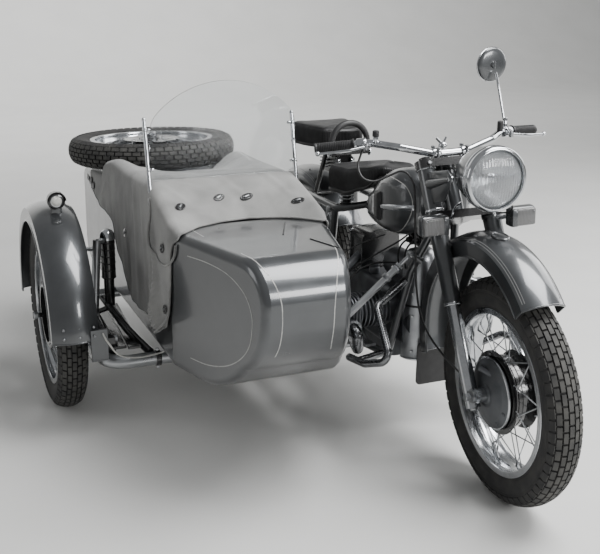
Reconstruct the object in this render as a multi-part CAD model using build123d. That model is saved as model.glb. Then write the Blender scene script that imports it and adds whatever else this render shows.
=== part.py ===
"""Motorcycle with a sidecar on its right: flat twin, shaft drive, three equal spoked wheels.

Machine axes in millimetres: +X to the machine's left, +Y to the rear, +Z up. The motorcycle's
middle plane is X = 0, the rear axle is at Y = 0 and the ground is Z = 0. The exported pieces are
moved so that the origin lies on the ground under the middle of the whole outfit.
"""
from build123d import *
from math import asin, cos, radians, sin, tan
import os

# Wheels and their places
WHEELBASE = 1500.0
TRACK = 1137.0
WHEEL_LEAD = 253.0
TYRE_R = 348.0
TYRE_W = 100.0
TYRE_SHOULDER_R = 334.0
TYRE_SHOULDER_W = 84.0
RIM_FLANGE_R = 255.0
RIM_BED_R = 243.0
RIM_W = 84.0
RIM_GAUGE = 5.0
SPOKE_D = 4.5
SPOKES_PER_SIDE = 20
SPOKE_LEAN_DEG = 26.0
SPOKE_SINK = 3.0
HUB_W = 88.0
HUB_DRUM_R = 112.0
HUB_FLANGE_R = 128.0
HUB_WAIST_R = 84.0
HUB_FLANGE_T = 6.0
HUB_DRUM_DEPTH = 30.0
AXLE_D = 17.0
AXLE_GAP = 1.5

# Front fork: its lines, in the plane of the steering axis
RAKE_DEG = 27.0
AXLE_AHEAD = 94.0
LEG_AHEAD = 45.0
LEG_X = 95.0
STEER_LOCK_DEG = 30.0
STEER_REST_DEG = -3.76
SLIDER_D = 44.0
SLIDER_TOP = 330.0
SLIDER_FOOT = 34.0
STANCHION_D = 36.0
SHROUD_LOW = 286.0
SHROUD_TOP_D = 60.0
SHROUD_LOW_D = 52.0
SHROUD_GAP = 1.5
LOWER_YOKE_UP = 572.0
UPPER_YOKE_UP = 742.0
YOKE_T = 26.0
YOKE_EYE_R = 33.0
YOKE_BOSS_R = 26.0
STEM_D = 28.0
HEAD_TUBE_D = 54.0
HEAD_BORE_GAP = 2.0
HEAD_END_GAP = 3.0

# Brake plate and axle clamps of the front wheel
PLATE_R = 110.0
PLATE_DOME = 18.0
HUB_SIDE_GAP = 5.0
AXLE_BOSS_D = 46.0
BRAKE_ARM_END = Vector(-68, 92, -30)

# Fenders
FRONT_FENDER_Y = -1405.0
FRONT_FENDER_Z = 416.0
FRONT_FENDER_R = 395.0
FRONT_FENDER_W = 138.0
FRONT_FENDER_START = 42.0
REAR_FENDER_R = 432.0
REAR_FENDER_W = 156.0
SIDE_FENDER_R = 420.0
SIDE_FENDER_W = 156.0
FENDER_GAUGE = 3.0
FENDER_CROWN = 26.0
FENDER_VALANCE = 46.0
FLAP_T = 5.0
FLAP_DROP = 160.0

# Handlebar and lamps
BAR_D = 24.0
GRIP_D = 34.0
HEADLAMP_R = 97.0
HEADLAMP_DEPTH = 160.0
HEADLAMP_FACE_Y = -1405.0
HEADLAMP_Z = 973.0
MIRROR_R = 57.0
CABLE_D = 7.0
LEAD_D = 6.0

# Main frame
TUBE_D = 28.0
TOP_TUBE_D = 40.0
RAIL_Z = 262.0
RAIL_X = 122.0
PIVOT_Y = -412.0
PIVOT_Z = 345.0
PIVOT_TUBE_D = 40.0
DAMPER_X = 150.0
TAIL_LAMP_Y = 366.0
TAIL_LAMP_Z = 640.0
PLATE_Y = 418.0
PLATE_Z = 545.0
PLATE_T = 3.0
PLATE_HOLE_DX = 150.0
PLATE_HOLE_DZ = 80.0
PLATE_HOLE_R = 3.2
DAMPER_Y = -46.0
DAMPER_FOOT_Z = 370.0
DAMPER_PIN_D = 20.0
DAMPER_EYE_HALF = 13.0
SUBFRAME_Z = 706.0
PILLION_Y = -318.0
HOOP_HALF = 74.0
HOOP_TOP_Z = 1000.0
HOOP_D = 24.0
SUBFRAME_X = 122.0
TANK_REAR_Y = -622.0
TOP_TUBE_REAR_Z = 738.0

# Engine: crank on the wheel-track line, cylinders to both sides
CYL_Y = -862.0
CYL_Z = 430.0
CRANKCASE_HALF = 100.0
CYL_BASE_X = 104.0
CYL_TOP_X = 214.0
HEAD_TOP_X = 284.0
COVER_TOP_X = 322.0
PORT_Y = 66.0
INLET_X = 246.0
INLET_Z = 456.0
OUTLET_X = 256.0
OUTLET_Z = 396.0
BARREL_R = 47.0
FIN_R = 63.0
FIN_T = 3.5
FIN_COUNT = 8
PORT_PIPE_D = 38.0
SILENCER_D = 76.0
PIPE_Z = 328.0
PIPE_X = 200.0

# Sidecar chassis
CHASSIS_D = 48.0
CHASSIS_Z = 270.0
OUTER_RAIL_X = -1035.0
INNER_RAIL_X = -318.0
FRONT_CROSS_Y = -640.0
REAR_CROSS_Y = 170.0
HORN_X = -338.0
HORN_Y = -1000.0
HORN_Z = 432.0
DAMPER_SIDE_X = -950.0
ARM_X = -1012.0
ARM_PIVOT_Y = -560.0
ARM_PIVOT_Z = 332.0

# Sidecar body
TUB_X = -610.0
TUB_HALF = 262.0
NOSE_HALF = 131.0
NOSE_Y = -1402.0
TAPER_Y = -900.0
TUB_FLOOR_Z = 330.0
DECK_Z = 784.0
BOOT_TOP_Z = 752.0
TUB_TAIL_Y = 560.0
TUB_WALL = 10.0
TUB_EDGE_R = 26.0
COCKPIT_FRONT_Y = -860.0
COCKPIT_REAR_Y = -60.0
COCKPIT_HALF = 225.0
CANVAS_T = 3.0
CANVAS_GAP = 1.0

# Boot lid and the spare wheel on it
LID_HINGE_Y = -34.0
LID_HINGE_Z = 766.0
LID_T = 12.0
LID_HALF = 222.0
LID_TAIL_Y = 524.0
SPARE_Y = 334.0
SPARE_Z = 842.0
SPARE_TILT_DEG = 2.0

# Windscreen
SCREEN_Y = -645.0
SCREEN_BASE_Z = 894.0
SCREEN_TOP_Z = 1219.0
SCREEN_EDGE_Z = 1090.0
SCREEN_HALF = 252.0
SCREEN_T = 4.0
SCREEN_CORNER_R = 90.0
POST_D = 13.0

# Centre stand, folded up under the frame
PEG_Z = 280.0
PEG_D = 27.0
STAND_PIVOT_Y = -470.0
STAND_PIVOT_Z = 228.0
STAND_LEG_L = 212.0
STAND_D = 24.0
STAND_PIN_D = 12.0
STAND_PIN_END = 124.0

# Values worked out from the sizes above
RAKE = radians(RAKE_DEG)
AXIS_DIR = Vector(0, sin(RAKE), cos(RAKE))
AHEAD_DIR = Vector(0, -cos(RAKE), sin(RAKE))
FRONT_AXLE = Vector(0, -WHEELBASE, TYRE_R)
STEM_FOOT = FRONT_AXLE - AHEAD_DIR * AXLE_AHEAD
STEM_AXIS = Axis(STEM_FOOT, AXIS_DIR)
REAR_AXLE = Vector(0, 0, TYRE_R)
SIDE_AXLE = Vector(-TRACK, -WHEEL_LEAD, TYRE_R)
HUB_BORE_R = AXLE_D / 2 + AXLE_GAP
BAR_END = Vector(392, -945, 1025)
REACH_LEFT = BAR_END.X + 8
REACH_RIGHT = -TRACK - SIDE_FENDER_W / 2
REACH_FRONT = -WHEELBASE - TYRE_R
REACH_REAR = SPARE_Y + TYRE_R
ORIGIN = Vector((REACH_LEFT + REACH_RIGHT) / 2, (REACH_FRONT + REACH_REAR) / 2, 0)


def fork_point(x, ahead, up):
    """Point x to the left, ahead of the steering axis and up along it from the axle's foot."""
    return Vector(x, 0, 0) + STEM_FOOT + AHEAD_DIR * ahead + AXIS_DIR * up


def steered(shape):
    """Turn a piece of the steered group from straight ahead to the pose at rest."""
    return shape.rotate(STEM_AXIS, STEER_REST_DEG)


def rod(start, end, dia):
    """Round bar from one point to another."""
    start, end = Vector(*start), Vector(*end)
    span = end - start
    return extrude(Plane(origin=start, z_dir=span) * Circle(dia / 2), span.length)


def tube(points, dia, radius):
    """Bent round tube along the points, with the same bend radius at each corner."""
    path = FilletPolyline(*points, radius=radius)
    section = Plane(origin=path @ 0, z_dir=path % 0) * Circle(dia / 2)
    return sweep(section, path=path)


def cable(name, points, dia):
    """Cable through the points, each arc as large as its two runs allow."""
    points = [Vector(*point) for point in points]
    runs = [after - before for before, after in zip(points, points[1:])]
    radii = []
    for run, follow in zip(runs, runs[1:]):
        shorter = min(run.length, follow.length)
        radii.append(0.45 * shorter / tan(radians(run.get_angle(follow)) / 2))
    print(name, "bend radii in mm:", [round(radius) for radius in radii])
    path = FilletPolyline(*points, radius=radii)
    section = Plane(origin=path @ 0, z_dir=path % 0) * Circle(dia / 2)
    return sweep(section, path=path)


def taper(start, end, start_dia, end_dia):
    """Round bar that changes its diameter from one point to another."""
    start, end = Vector(*start), Vector(*end)
    span = end - start
    foot = Plane(origin=start, z_dir=span) * Circle(start_dia / 2)
    tip = Plane(origin=end, z_dir=span) * Circle(end_dia / 2)
    return loft([foot, tip])


def disc(centre, along, radius, length):
    """Round disc from its centre point along a direction."""
    return extrude(Plane(origin=centre, z_dir=along) * Circle(radius), length)


def block(x0, x1, y0, y1, z0, z1, radius=0.0):
    """Box between six limits, with its upright edges rounded."""
    size = (abs(x1 - x0), abs(y1 - y0), abs(z1 - z0))
    body = Pos((x0 + x1) / 2, (y0 + y1) / 2, (z0 + z1) / 2) * Box(*size)
    if radius:
        body = fillet(body.edges().filter_by(Axis.Z), radius)
    return body


def both_sides(shape):
    """The shape and its mirror image across the motorcycle's middle plane."""
    return [shape, mirror(shape, Plane.YZ)]


def turned_profile(points, centre):
    """Ring made by turning a closed outline of (radius, x) points about an axle along X."""
    outline = make_face(Polyline(*[(x, r) for r, x in points], close=True))
    ring = revolve(outline, Axis.X, 360)
    return Pos(*centre) * ring


def crown(radius, edge, top):
    """Arc in the XY plane from (radius, edge) to (0, top), square to the Y axis where it ends."""
    rise = top - edge
    bend = (radius * radius + rise * rise) / (2 * abs(rise))
    half = asin(radius / bend) / 2
    sign = 1 if rise > 0 else -1
    return ThreePointArc((radius, edge), (bend * sin(half), top - sign * bend * (1 - cos(half))), (0, top))


# Wheels

def tyre():
    """Tyre at the origin with its axle along X: seat, bead, sidewalls, shoulders and crown."""
    bead_x = RIM_W / 2 - RIM_GAUGE
    half = TYRE_W / 2
    shoulder = TYRE_SHOULDER_W / 2
    outline = make_face([
        Line((-bead_x, RIM_BED_R), (bead_x, RIM_BED_R)),
        Line((bead_x, RIM_BED_R), (bead_x, RIM_FLANGE_R)),
        ThreePointArc((bead_x, RIM_FLANGE_R), (half, (RIM_FLANGE_R + TYRE_SHOULDER_R) / 2 + 6),
                      (shoulder, TYRE_SHOULDER_R)),
        ThreePointArc((shoulder, TYRE_SHOULDER_R), (0, TYRE_R), (-shoulder, TYRE_SHOULDER_R)),
        ThreePointArc((-shoulder, TYRE_SHOULDER_R), (-half, (RIM_FLANGE_R + TYRE_SHOULDER_R) / 2 + 6),
                      (-bead_x, RIM_FLANGE_R)),
        Line((-bead_x, RIM_FLANGE_R), (-bead_x, RIM_BED_R)),
    ])
    return revolve(outline, Axis.X, 360)


def rim():
    """Channel-section rim: two flanges and a dropped bed."""
    half = RIM_W / 2
    lip = half - RIM_GAUGE
    outline = [(RIM_FLANGE_R, -half), (RIM_FLANGE_R, -lip), (RIM_BED_R, -lip), (RIM_BED_R, lip),
               (RIM_FLANGE_R, lip), (RIM_FLANGE_R, half), (RIM_BED_R - RIM_GAUGE, half),
               (RIM_BED_R - 2 * RIM_GAUGE, 0), (RIM_BED_R - RIM_GAUGE, -half)]
    return turned_profile(outline, (0, 0, 0))


def hub():
    """Drum hub with two spoke flanges and a clear bore for the axle; the drum opens to -X."""
    half = HUB_W / 2
    flange = half - HUB_FLANGE_T
    outline = [(HUB_BORE_R, -half + HUB_DRUM_DEPTH), (HUB_DRUM_R - 9, -half + HUB_DRUM_DEPTH), (HUB_DRUM_R - 9, -half),
               (HUB_DRUM_R, -half), (HUB_DRUM_R, -flange - 2), (HUB_FLANGE_R, -flange - 2),
               (HUB_FLANGE_R, -flange + 4), (HUB_DRUM_R, -flange + 4), (HUB_DRUM_R, 4),
               (HUB_WAIST_R, 16), (HUB_WAIST_R, flange - 4), (HUB_FLANGE_R - 8, flange - 4),
               (HUB_FLANGE_R - 8, flange + 2), (HUB_WAIST_R - 20, half - 4), (34, half),
               (HUB_BORE_R, half)]
    return turned_profile(outline, (0, 0, 0))


def spokes():
    """Crossed spokes from both hub flanges to the rim's bed."""
    bars = []
    step = 360 / SPOKES_PER_SIDE
    rim_r = RIM_BED_R - RIM_GAUGE
    for side, hub_r in ((-1, HUB_FLANGE_R), (1, HUB_FLANGE_R - 8)):
        hub_x = side * (HUB_W / 2 - HUB_FLANGE_T)
        for index in range(SPOKES_PER_SIDE):
            lean = SPOKE_LEAN_DEG / 2 * (1 if index % 2 else -1)
            centre = index * step + (step / 2 if side > 0 else 0)
            a0, a1 = radians(centre - lean), radians(centre + lean)
            start = Vector(hub_x, (hub_r - SPOKE_SINK) * cos(a0), (hub_r - SPOKE_SINK) * sin(a0))
            end = Vector(side * 6, (rim_r + 1) * cos(a1), (rim_r + 1) * sin(a1))
            span = end - start
            bars.append(extrude(Plane(origin=start, z_dir=span) * Rectangle(SPOKE_D, SPOKE_D), span.length))
    return bars


def spoked_wheel():
    """Rim, spokes and hub as one welded and laced wheel at the origin, axle along X."""
    return rim() + hub() + spokes()


# Steered group

def fork_yokes():
    """Lower and upper yokes, steering stem and both stanchions."""
    pieces = []
    for up in (LOWER_YOKE_UP, UPPER_YOKE_UP):
        plane = Plane(origin=fork_point(0, 0, up), x_dir=(1, 0, 0), z_dir=AXIS_DIR)
        bridge = Pos(0, -LEG_AHEAD, 0) * RectangleRounded(2 * (LEG_X + YOKE_EYE_R), 2 * YOKE_EYE_R, YOKE_EYE_R - 2)
        boss = Pos(0, (YOKE_BOSS_R - LEG_AHEAD) / 2, 0) * RectangleRounded(76, YOKE_BOSS_R + LEG_AHEAD, YOKE_BOSS_R - 1)
        pieces.append(plane * extrude(bridge, -YOKE_T))
        pieces.append(plane * extrude(boss, -YOKE_T))
    pieces.append(rod(fork_point(0, 0, LOWER_YOKE_UP - YOKE_T), fork_point(0, 0, UPPER_YOKE_UP + 16), STEM_D))
    for x in (-LEG_X, LEG_X):
        pieces.append(rod(fork_point(x, LEG_AHEAD, SLIDER_TOP), fork_point(x, LEG_AHEAD, UPPER_YOKE_UP + 10), STANCHION_D))
    return Part() + pieces


def fork_shrouds():
    """Tapered covers below the lower yoke and plain covers with lamp ears between the yokes."""
    covers = []
    bore = STANCHION_D + 2 * SHROUD_GAP
    low_bore = SLIDER_D + 2 * SHROUD_GAP
    for x in (-LEG_X, LEG_X):
        plane = Plane(origin=fork_point(x, LEG_AHEAD, 0), x_dir=(1, 0, 0), z_dir=AXIS_DIR)
        top = LOWER_YOKE_UP - YOKE_T
        outline = make_face(Polyline((low_bore / 2, SHROUD_LOW), (SHROUD_LOW_D / 2, SHROUD_LOW),
                                     (SHROUD_TOP_D / 2, top), (bore / 2, top),
                                     (bore / 2, SLIDER_TOP + 20), (low_bore / 2, SLIDER_TOP + 20), close=True))
        covers.append(plane * revolve(Plane.XZ * outline, Axis.Z, 360))
        upper = Pos(0, 0, LOWER_YOKE_UP) * extrude(Circle(SHROUD_TOP_D / 2 - 2), UPPER_YOKE_UP - YOKE_T - LOWER_YOKE_UP)
        upper -= Pos(0, 0, LOWER_YOKE_UP) * extrude(Circle(bore / 2), UPPER_YOKE_UP)
        covers.append(plane * upper)
    ears = []
    for side in (-1, 1):
        start = fork_point(side * (LEG_X + 4), LEG_AHEAD + 20, 664)
        end = Vector(side * (HEADLAMP_R + 8), HEADLAMP_FACE_Y + 92, HEADLAMP_Z - 6)
        ears.append(taper(start, end, 40, 16) + rod(end, end + Vector(-side * 6, 0, 0), 14))
    covers = Part() + covers
    bores = [rod(fork_point(x, LEG_AHEAD, LOWER_YOKE_UP), fork_point(x, LEG_AHEAD, UPPER_YOKE_UP), bore) for x in (-LEG_X, LEG_X)]
    return covers + ears - bores


def fork_sliders():
    """Both sliders with their forward axle bosses, joined by the axle."""
    pieces = []
    for side in (-1, 1):
        x = side * LEG_X
        pieces.append(rod(fork_point(x, LEG_AHEAD, -SLIDER_FOOT), fork_point(x, LEG_AHEAD, SLIDER_TOP), SLIDER_D))
        pieces.append(disc(fork_point(x - 20, AXLE_AHEAD, 0), (1, 0, 0), AXLE_BOSS_D / 2, 40))
        plane = Plane(origin=fork_point(x, (LEG_AHEAD + AXLE_AHEAD) / 2, 0), x_dir=(1, 0, 0), z_dir=AXIS_DIR)
        pieces.append(plane * Box(30, AXLE_AHEAD - LEG_AHEAD, 40))
    pieces.append(rod(fork_point(-LEG_X - 32, AXLE_AHEAD, 0), fork_point(LEG_X + 32, AXLE_AHEAD, 0), AXLE_D))
    return Part() + pieces


def front_brake_plate():
    """Domed plate that closes the drum on the machine's right, with its torque peg and cable arm."""
    inner = -HUB_W / 2 - HUB_SIDE_GAP
    rim_x = inner - 6
    outline = [(HUB_BORE_R, inner), (PLATE_R, inner), (PLATE_R, rim_x), (PLATE_R - 26, rim_x - PLATE_DOME / 2),
               (40, rim_x - PLATE_DOME), (HUB_BORE_R, rim_x - PLATE_DOME)]
    plate = turned_profile(outline, FRONT_AXLE)
    peg = rod(FRONT_AXLE + Vector(rim_x + 2, -30, 62), FRONT_AXLE + Vector(-LEG_X + SLIDER_D / 2 - 2, 30, 74), 20)
    arm = rod(FRONT_AXLE + Vector(rim_x - 5, 50, -6), FRONT_AXLE + BRAKE_ARM_END, 11)
    return plate + peg + arm - rod(FRONT_AXLE + Vector(-120, 0, 0), FRONT_AXLE + Vector(-20, 0, 0), AXLE_D + 1)


def fender_shell(centre, radius, width, start_deg, sweep_deg):
    """Curved fender: crowned top with side valances, turned about an axle along X.

    Angles run from the front horizontal over the top to the rear.
    """
    half = width / 2
    crown_low = radius - FENDER_CROWN
    skirt = crown_low - FENDER_VALANCE
    gauge = FENDER_GAUGE
    outer = [Line((-half, skirt), (-half, crown_low)),
             ThreePointArc((-half, crown_low), (0, radius), (half, crown_low)),
             Line((half, crown_low), (half, skirt)),
             Line((half, skirt), (half - gauge, skirt)),
             Line((half - gauge, skirt), (half - gauge, crown_low - gauge / 2)),
             ThreePointArc((half - gauge, crown_low - gauge / 2), (0, radius - gauge),
                           (-half + gauge, crown_low - gauge / 2)),
             Line((-half + gauge, crown_low - gauge / 2), (-half + gauge, skirt)),
             Line((-half + gauge, skirt), (-half, skirt))]
    section = Plane(origin=(0, 0, 0), x_dir=(1, 0, 0), z_dir=(0, 0, 1)) * make_face(outer)
    shell = revolve(section, Axis.X, sweep_deg)
    return Pos(*centre) * (Rot(180 - start_deg - sweep_deg, 0, 0) * shell)


def front_fender():
    """Front fender with its stays to the fork."""
    centre = Vector(0, FRONT_FENDER_Y, FRONT_FENDER_Z)
    shell = fender_shell(centre, FRONT_FENDER_R, FRONT_FENDER_W, FRONT_FENDER_START, 195 - FRONT_FENDER_START)
    stays = []
    for side in (-1, 1):
        x = side * (FRONT_FENDER_W / 2 - 1)
        foot = fork_point(side * (LEG_X - SHROUD_TOP_D / 2 + 2), LEG_AHEAD, 470)
        stays.append(rod(Vector(x, foot.Y - 6, FRONT_FENDER_Z + 322), foot, 14))
    return shell + stays - fork_shrouds()


def mud_flap():
    """Rubber flap hung from the front fender's rear end."""
    y_top = FRONT_FENDER_Y + FRONT_FENDER_R - 9
    top = Vector(0, y_top, FRONT_FENDER_Z - 78)
    plane = Plane(origin=top, x_dir=(1, 0, 0), z_dir=(0, 1, 0.09))
    sheet = Pos(0, FLAP_DROP / 2, 0) * RectangleRounded(FRONT_FENDER_W - 4, FLAP_DROP, 16)
    return plane * extrude(sheet, FLAP_T) - front_fender()


def handlebar():
    """Chromed bar from grip to grip with its two clamps on the upper yoke."""
    x, y, z = BAR_END
    right = [(-x, y, z), (-232, -1012, 1040), (-160, -1078, 1030), (-58, -1104, 1006)]
    left = [(-px, py, pz) for px, py, pz in reversed(right)]
    bar = tube(right + left, BAR_D, 38)
    clamps = [rod((side * 50, -1104, 1006), fork_point(side * 50, 16, UPPER_YOKE_UP - 6), 20) for side in (-1, 1)]
    return bar + clamps - fork_yokes()


def hand_controls():
    """Rubber grips on the bar ends with lever brackets and levers ahead of them."""
    pieces = []
    x, y, z = BAR_END
    inner = Vector(-232, -1012, 1040)
    outer = Vector(-x, y, z)
    along = (outer - inner).normalized()
    grip = rod(outer - along * 122, outer + along * 6, GRIP_D) - rod(outer - along * 130, outer + along * 0.5, BAR_D)
    bracket = rod(inner + along * 16, inner + along * 44, BAR_D + 12)
    root = inner + along * 28 + Vector(0, -34, -4)
    bracket += rod(inner + along * 28 + Vector(0, -14, 0), root, 18)
    lever = tube([root, root + along * 70 + Vector(0, -22, -4), outer + Vector(-14, -50, -8)], 10, 60)
    lever += Pos(*(outer + Vector(-14, -50, -8))) * Sphere(8)
    for piece in (grip, bracket + lever - handlebar()):
        pieces += both_sides(piece)
    return Compound(children=pieces)


def headlamp():
    """Headlamp shell, open at the front where the lens sits."""
    y0 = HEADLAMP_FACE_Y
    r = HEADLAMP_R
    outline = make_face([
        Line((0, HEADLAMP_DEPTH), (30, HEADLAMP_DEPTH)),
        ThreePointArc((30, HEADLAMP_DEPTH), (r - 14, HEADLAMP_DEPTH * 0.55), (r, 18)),
        Line((r, 18), (r, 2)),
        Line((r, 2), (r - 10, 2)),
        Line((r - 10, 2), (r - 10, 20)),
        Line((r - 10, 20), (0, 20)),
        Line((0, 20), (0, HEADLAMP_DEPTH)),
    ])
    shell = revolve(Plane.XY * outline, Axis.Y, 360)
    return Pos(0, y0, HEADLAMP_Z) * shell


def headlamp_lens():
    """Domed glass in the headlamp's rim."""
    r = HEADLAMP_R - 11
    outline = make_face([Line((0, -12), (0, 18)), Line((0, 18), (r, 18)), Line((r, 18), (r, 4)), crown(r, 4, -12)])
    return Pos(0, HEADLAMP_FACE_Y, HEADLAMP_Z) * revolve(outline, Axis.Y, 360)


def turn_signals():
    """Two rectangular front turn lamps on arms from the fork covers."""
    lamps = []
    for side in (-1, 1):
        centre = Vector(side * 150, -1296, 826)
        box = fillet(Box(88, 46, 62).edges(), 7)
        arm = rod(fork_point(side * (LEG_X + 4), LEG_AHEAD + SHROUD_TOP_D / 2 - 6, LOWER_YOKE_UP - 40),
                  centre + Vector(-side * 20, 20, 0), 14)
        lamps.append(Pos(*centre) * box + arm)
    return Compound(children=[lamp - fork_shrouds() for lamp in lamps])


def mirror_left():
    """Round mirror on a straight stem from the left lever's bracket."""
    foot = Vector(254, -1002, 1050)
    head = Vector(240, -966, 1206)
    face = Vector(236, -944, 1252)
    stem = rod(foot, head, 9) + rod(head, face, 9) + rod(foot, foot + Vector(-1, 2, 24), 16)
    glass = extrude(Plane(origin=face, z_dir=(-0.1, 1, 0.05)) * Circle(MIRROR_R), 12)
    return stem + glass - hand_controls() - handlebar()


def control_cables():
    """Front brake cable from the right lever down to the brake plate's arm."""
    end = FRONT_AXLE + BRAKE_ARM_END
    points = [(-262, -1014, 1020), (-290, -1034, 974), (-284, -1066, 938), (-248, -1078, 928), (-200, -1080, 944),
              (-152, -1092, 964), (-134, -1126, 925), (-133, -1131, 850), (-130, -1128, 770), (-127, -1124, 680),
              (-126, -1126, 590), (-126, -1152, 500), (-123, -1222, 442), (-116, -1304, 408), end + Vector(-2, 30, 28), end]
    return cable("control cable", points, CABLE_D) - front_brake_plate() - hand_controls() - handlebar()


# Frame, engine and running gear

def main_frame():
    """Duplex cradle with steering head, top tube, rear subframe and the lugs of the stand."""
    head = rod(fork_point(0, 0, LOWER_YOKE_UP + HEAD_END_GAP), fork_point(0, 0, UPPER_YOKE_UP - YOKE_T - HEAD_END_GAP), HEAD_TUBE_D)
    top = tube([fork_point(0, -18, 670), (0, -940, 812), (0, TANK_REAR_Y + 40, TOP_TUBE_REAR_Z)], TOP_TUBE_D, 150)
    tubes = [head, top]
    for side in (-1, 1):
        cradle = [fork_point(side * 16, -14, LOWER_YOKE_UP + 46), (side * 80, -1015, 600), (side * 95, -890, RAIL_Z),
                  (side * RAIL_X, -760, RAIL_Z), (side * RAIL_X, -400, RAIL_Z), (side * 112, -470, SUBFRAME_Z)]
        tubes.append(tube(cradle, TUBE_D, 48))
        loop = [(side * 12, TANK_REAR_Y + 30, TOP_TUBE_REAR_Z), (side * 112, -500, SUBFRAME_Z), (side * SUBFRAME_X, 60, SUBFRAME_Z)]
        tubes.append(tube(loop, TUBE_D, 60))
        lug = block(side * 80, side * 92, STAND_PIVOT_Y - 16, STAND_PIVOT_Y + 16, STAND_PIVOT_Z - 16, RAIL_Z)
        tubes.append(lug)
        eye_x = DAMPER_X - DAMPER_EYE_HALF
        tubes.append(block(side * (SUBFRAME_X - 6), side * eye_x, DAMPER_Y - 14, DAMPER_Y + 14, SUBFRAME_Z - 13, SUBFRAME_Z + 13))
        tubes.append(rod((side * 60, -1050, 640), (side * 92, -1036, 664), 22))
    tubes.append(rod((-RAIL_X, -620, RAIL_Z), (RAIL_X, -620, RAIL_Z), TUBE_D - 4))
    tubes.append(rod((-RAIL_X, STAND_PIVOT_Y, RAIL_Z), (RAIL_X, STAND_PIVOT_Y, RAIL_Z), TUBE_D - 4))
    tubes.append(rod((-STAND_PIN_END, STAND_PIVOT_Y, STAND_PIVOT_Z), (STAND_PIN_END, STAND_PIVOT_Y, STAND_PIVOT_Z), STAND_PIN_D))
    tubes.append(rod((-116, PIVOT_Y, PIVOT_Z), (116, PIVOT_Y, PIVOT_Z), AXLE_D))
    tubes.append(rod((-112, -470, SUBFRAME_Z), (112, -470, SUBFRAME_Z), TUBE_D - 4))
    frame = Part() + tubes
    bore = rod(fork_point(0, 0, LOWER_YOKE_UP - 40), fork_point(0, 0, UPPER_YOKE_UP + 40), STEM_D + 2 * HEAD_BORE_GAP)
    return frame - bore


def engine_block():
    """Crankcase, timing cover, generator and gearbox as one closed casting."""
    crankcase = fillet(block(-CRANKCASE_HALF, CRANKCASE_HALF, -880, -640, 288, 505).edges().filter_by(Axis.Y), 26)
    bosses = disc((-CRANKCASE_HALF, CYL_Y, CYL_Z), (1, 0, 0), BARREL_R + 9, 2 * CRANKCASE_HALF)
    front = fillet(block(-64, 64, -936, -870, 300, 490).edges().filter_by(Axis.Y), 30)
    sump = block(-74, 74, -880, -640, 247, 300, 18)
    timing = disc((0, -962, 392), (0, 1, 0), 60, 60) + disc((0, -950, 462), (0, 1, 0), 42, 40)
    generator = disc((0, -915, 560), (0, 1, 0), 52, 160)
    cradle = block(-40, 40, -890, -770, 480, 540)
    gearbox = fillet(block(-84, 84, -640, -452, 292, 470).edges().filter_by(Axis.Y), 30)
    return crankcase + bosses + front + sump + timing + generator + cradle + gearbox


def cylinders():
    """Two finned barrels."""
    pitch = (CYL_TOP_X - CYL_BASE_X - FIN_T) / (FIN_COUNT - 1)
    barrel = disc((CRANKCASE_HALF, CYL_Y, CYL_Z), (1, 0, 0), BARREL_R, CYL_TOP_X - CRANKCASE_HALF)
    fins = [disc((CYL_BASE_X + i * pitch, CYL_Y, CYL_Z), (1, 0, 0), FIN_R, FIN_T) for i in range(FIN_COUNT)]
    return Compound(children=both_sides(barrel + fins))


def cylinder_heads():
    """Two finned heads with port flanges, each with its rocker cover."""
    plane = Plane(origin=(CYL_TOP_X, CYL_Y, CYL_Z), x_dir=(0, 1, 0), z_dir=(1, 0, 0))
    head = plane * extrude(RectangleRounded(112, 104, 30), HEAD_TOP_X - CYL_TOP_X)
    fins = []
    for i in range(5):
        offset = 6 + i * (HEAD_TOP_X - CYL_TOP_X - 12) / 5
        fins.append(plane * (Pos(0, 0, offset) * extrude(RectangleRounded(2 * FIN_R + 2, 2 * FIN_R - 4, 34), 4)))
    cover = plane * (Pos(0, 0, HEAD_TOP_X - CYL_TOP_X) * extrude(RectangleRounded(118, 108, 32), COVER_TOP_X - HEAD_TOP_X))
    cover = fillet(cover.edges().group_by(Axis.X)[-1], 14)
    inlet = disc((INLET_X, CYL_Y, INLET_Z), (0, 1, 0), 23, PORT_Y)
    outlet = disc((OUTLET_X, CYL_Y, OUTLET_Z), (0, -1, 0), PORT_PIPE_D / 2 + 4, PORT_Y)
    return Compound(children=both_sides(head + fins + cover + inlet + outlet))


def carburettors():
    """Two carburettors on the heads' rear ports with ducts to the air cleaner."""
    port = Vector(INLET_X, CYL_Y + PORT_Y, INLET_Z)
    throat = disc(port, (0, 1, 0), 20, 78)
    body = Pos(*(port + Vector(0, 44, 14))) * Cylinder(24, 84)
    bowl = Pos(*(port + Vector(30, 44, -6))) * Cylinder(19, 44)
    duct = tube([port + Vector(0, 70, 0), port + Vector(0, 118, 0), (60, -590, 552)], 34, 40)
    return Compound(children=both_sides(throat + body + bowl + duct - air_cleaner()))


def air_cleaner():
    """Air cleaner drum on the gearbox, below the tank's rear end."""
    return fillet(block(-76, 76, -632, -526, 470, 640).edges().filter_by(Axis.Y), 30)


def exhausts():
    """Two header pipes with their silencers along the rear wheel."""
    header = tube([(OUTLET_X, CYL_Y - PORT_Y, OUTLET_Z), (OUTLET_X, CYL_Y - 118, OUTLET_Z), (250, CYL_Y - 112, PIPE_Z - 2),
                   (PIPE_X, CYL_Y + 60, PIPE_Z), (PIPE_X, -330, PIPE_Z)], PORT_PIPE_D, 26)
    silencer = revolve(make_face(Polyline((0, 0), (PORT_PIPE_D / 2, 0), (SILENCER_D / 2, 70), (SILENCER_D / 2, 500),
                                          (26, 560), (18, 560), (18, 500), (0, 500), close=True)), Axis.Y, 360)
    pipe = header + Pos(PIPE_X, -330, PIPE_Z) * silencer
    return Compound(children=both_sides(pipe))


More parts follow.
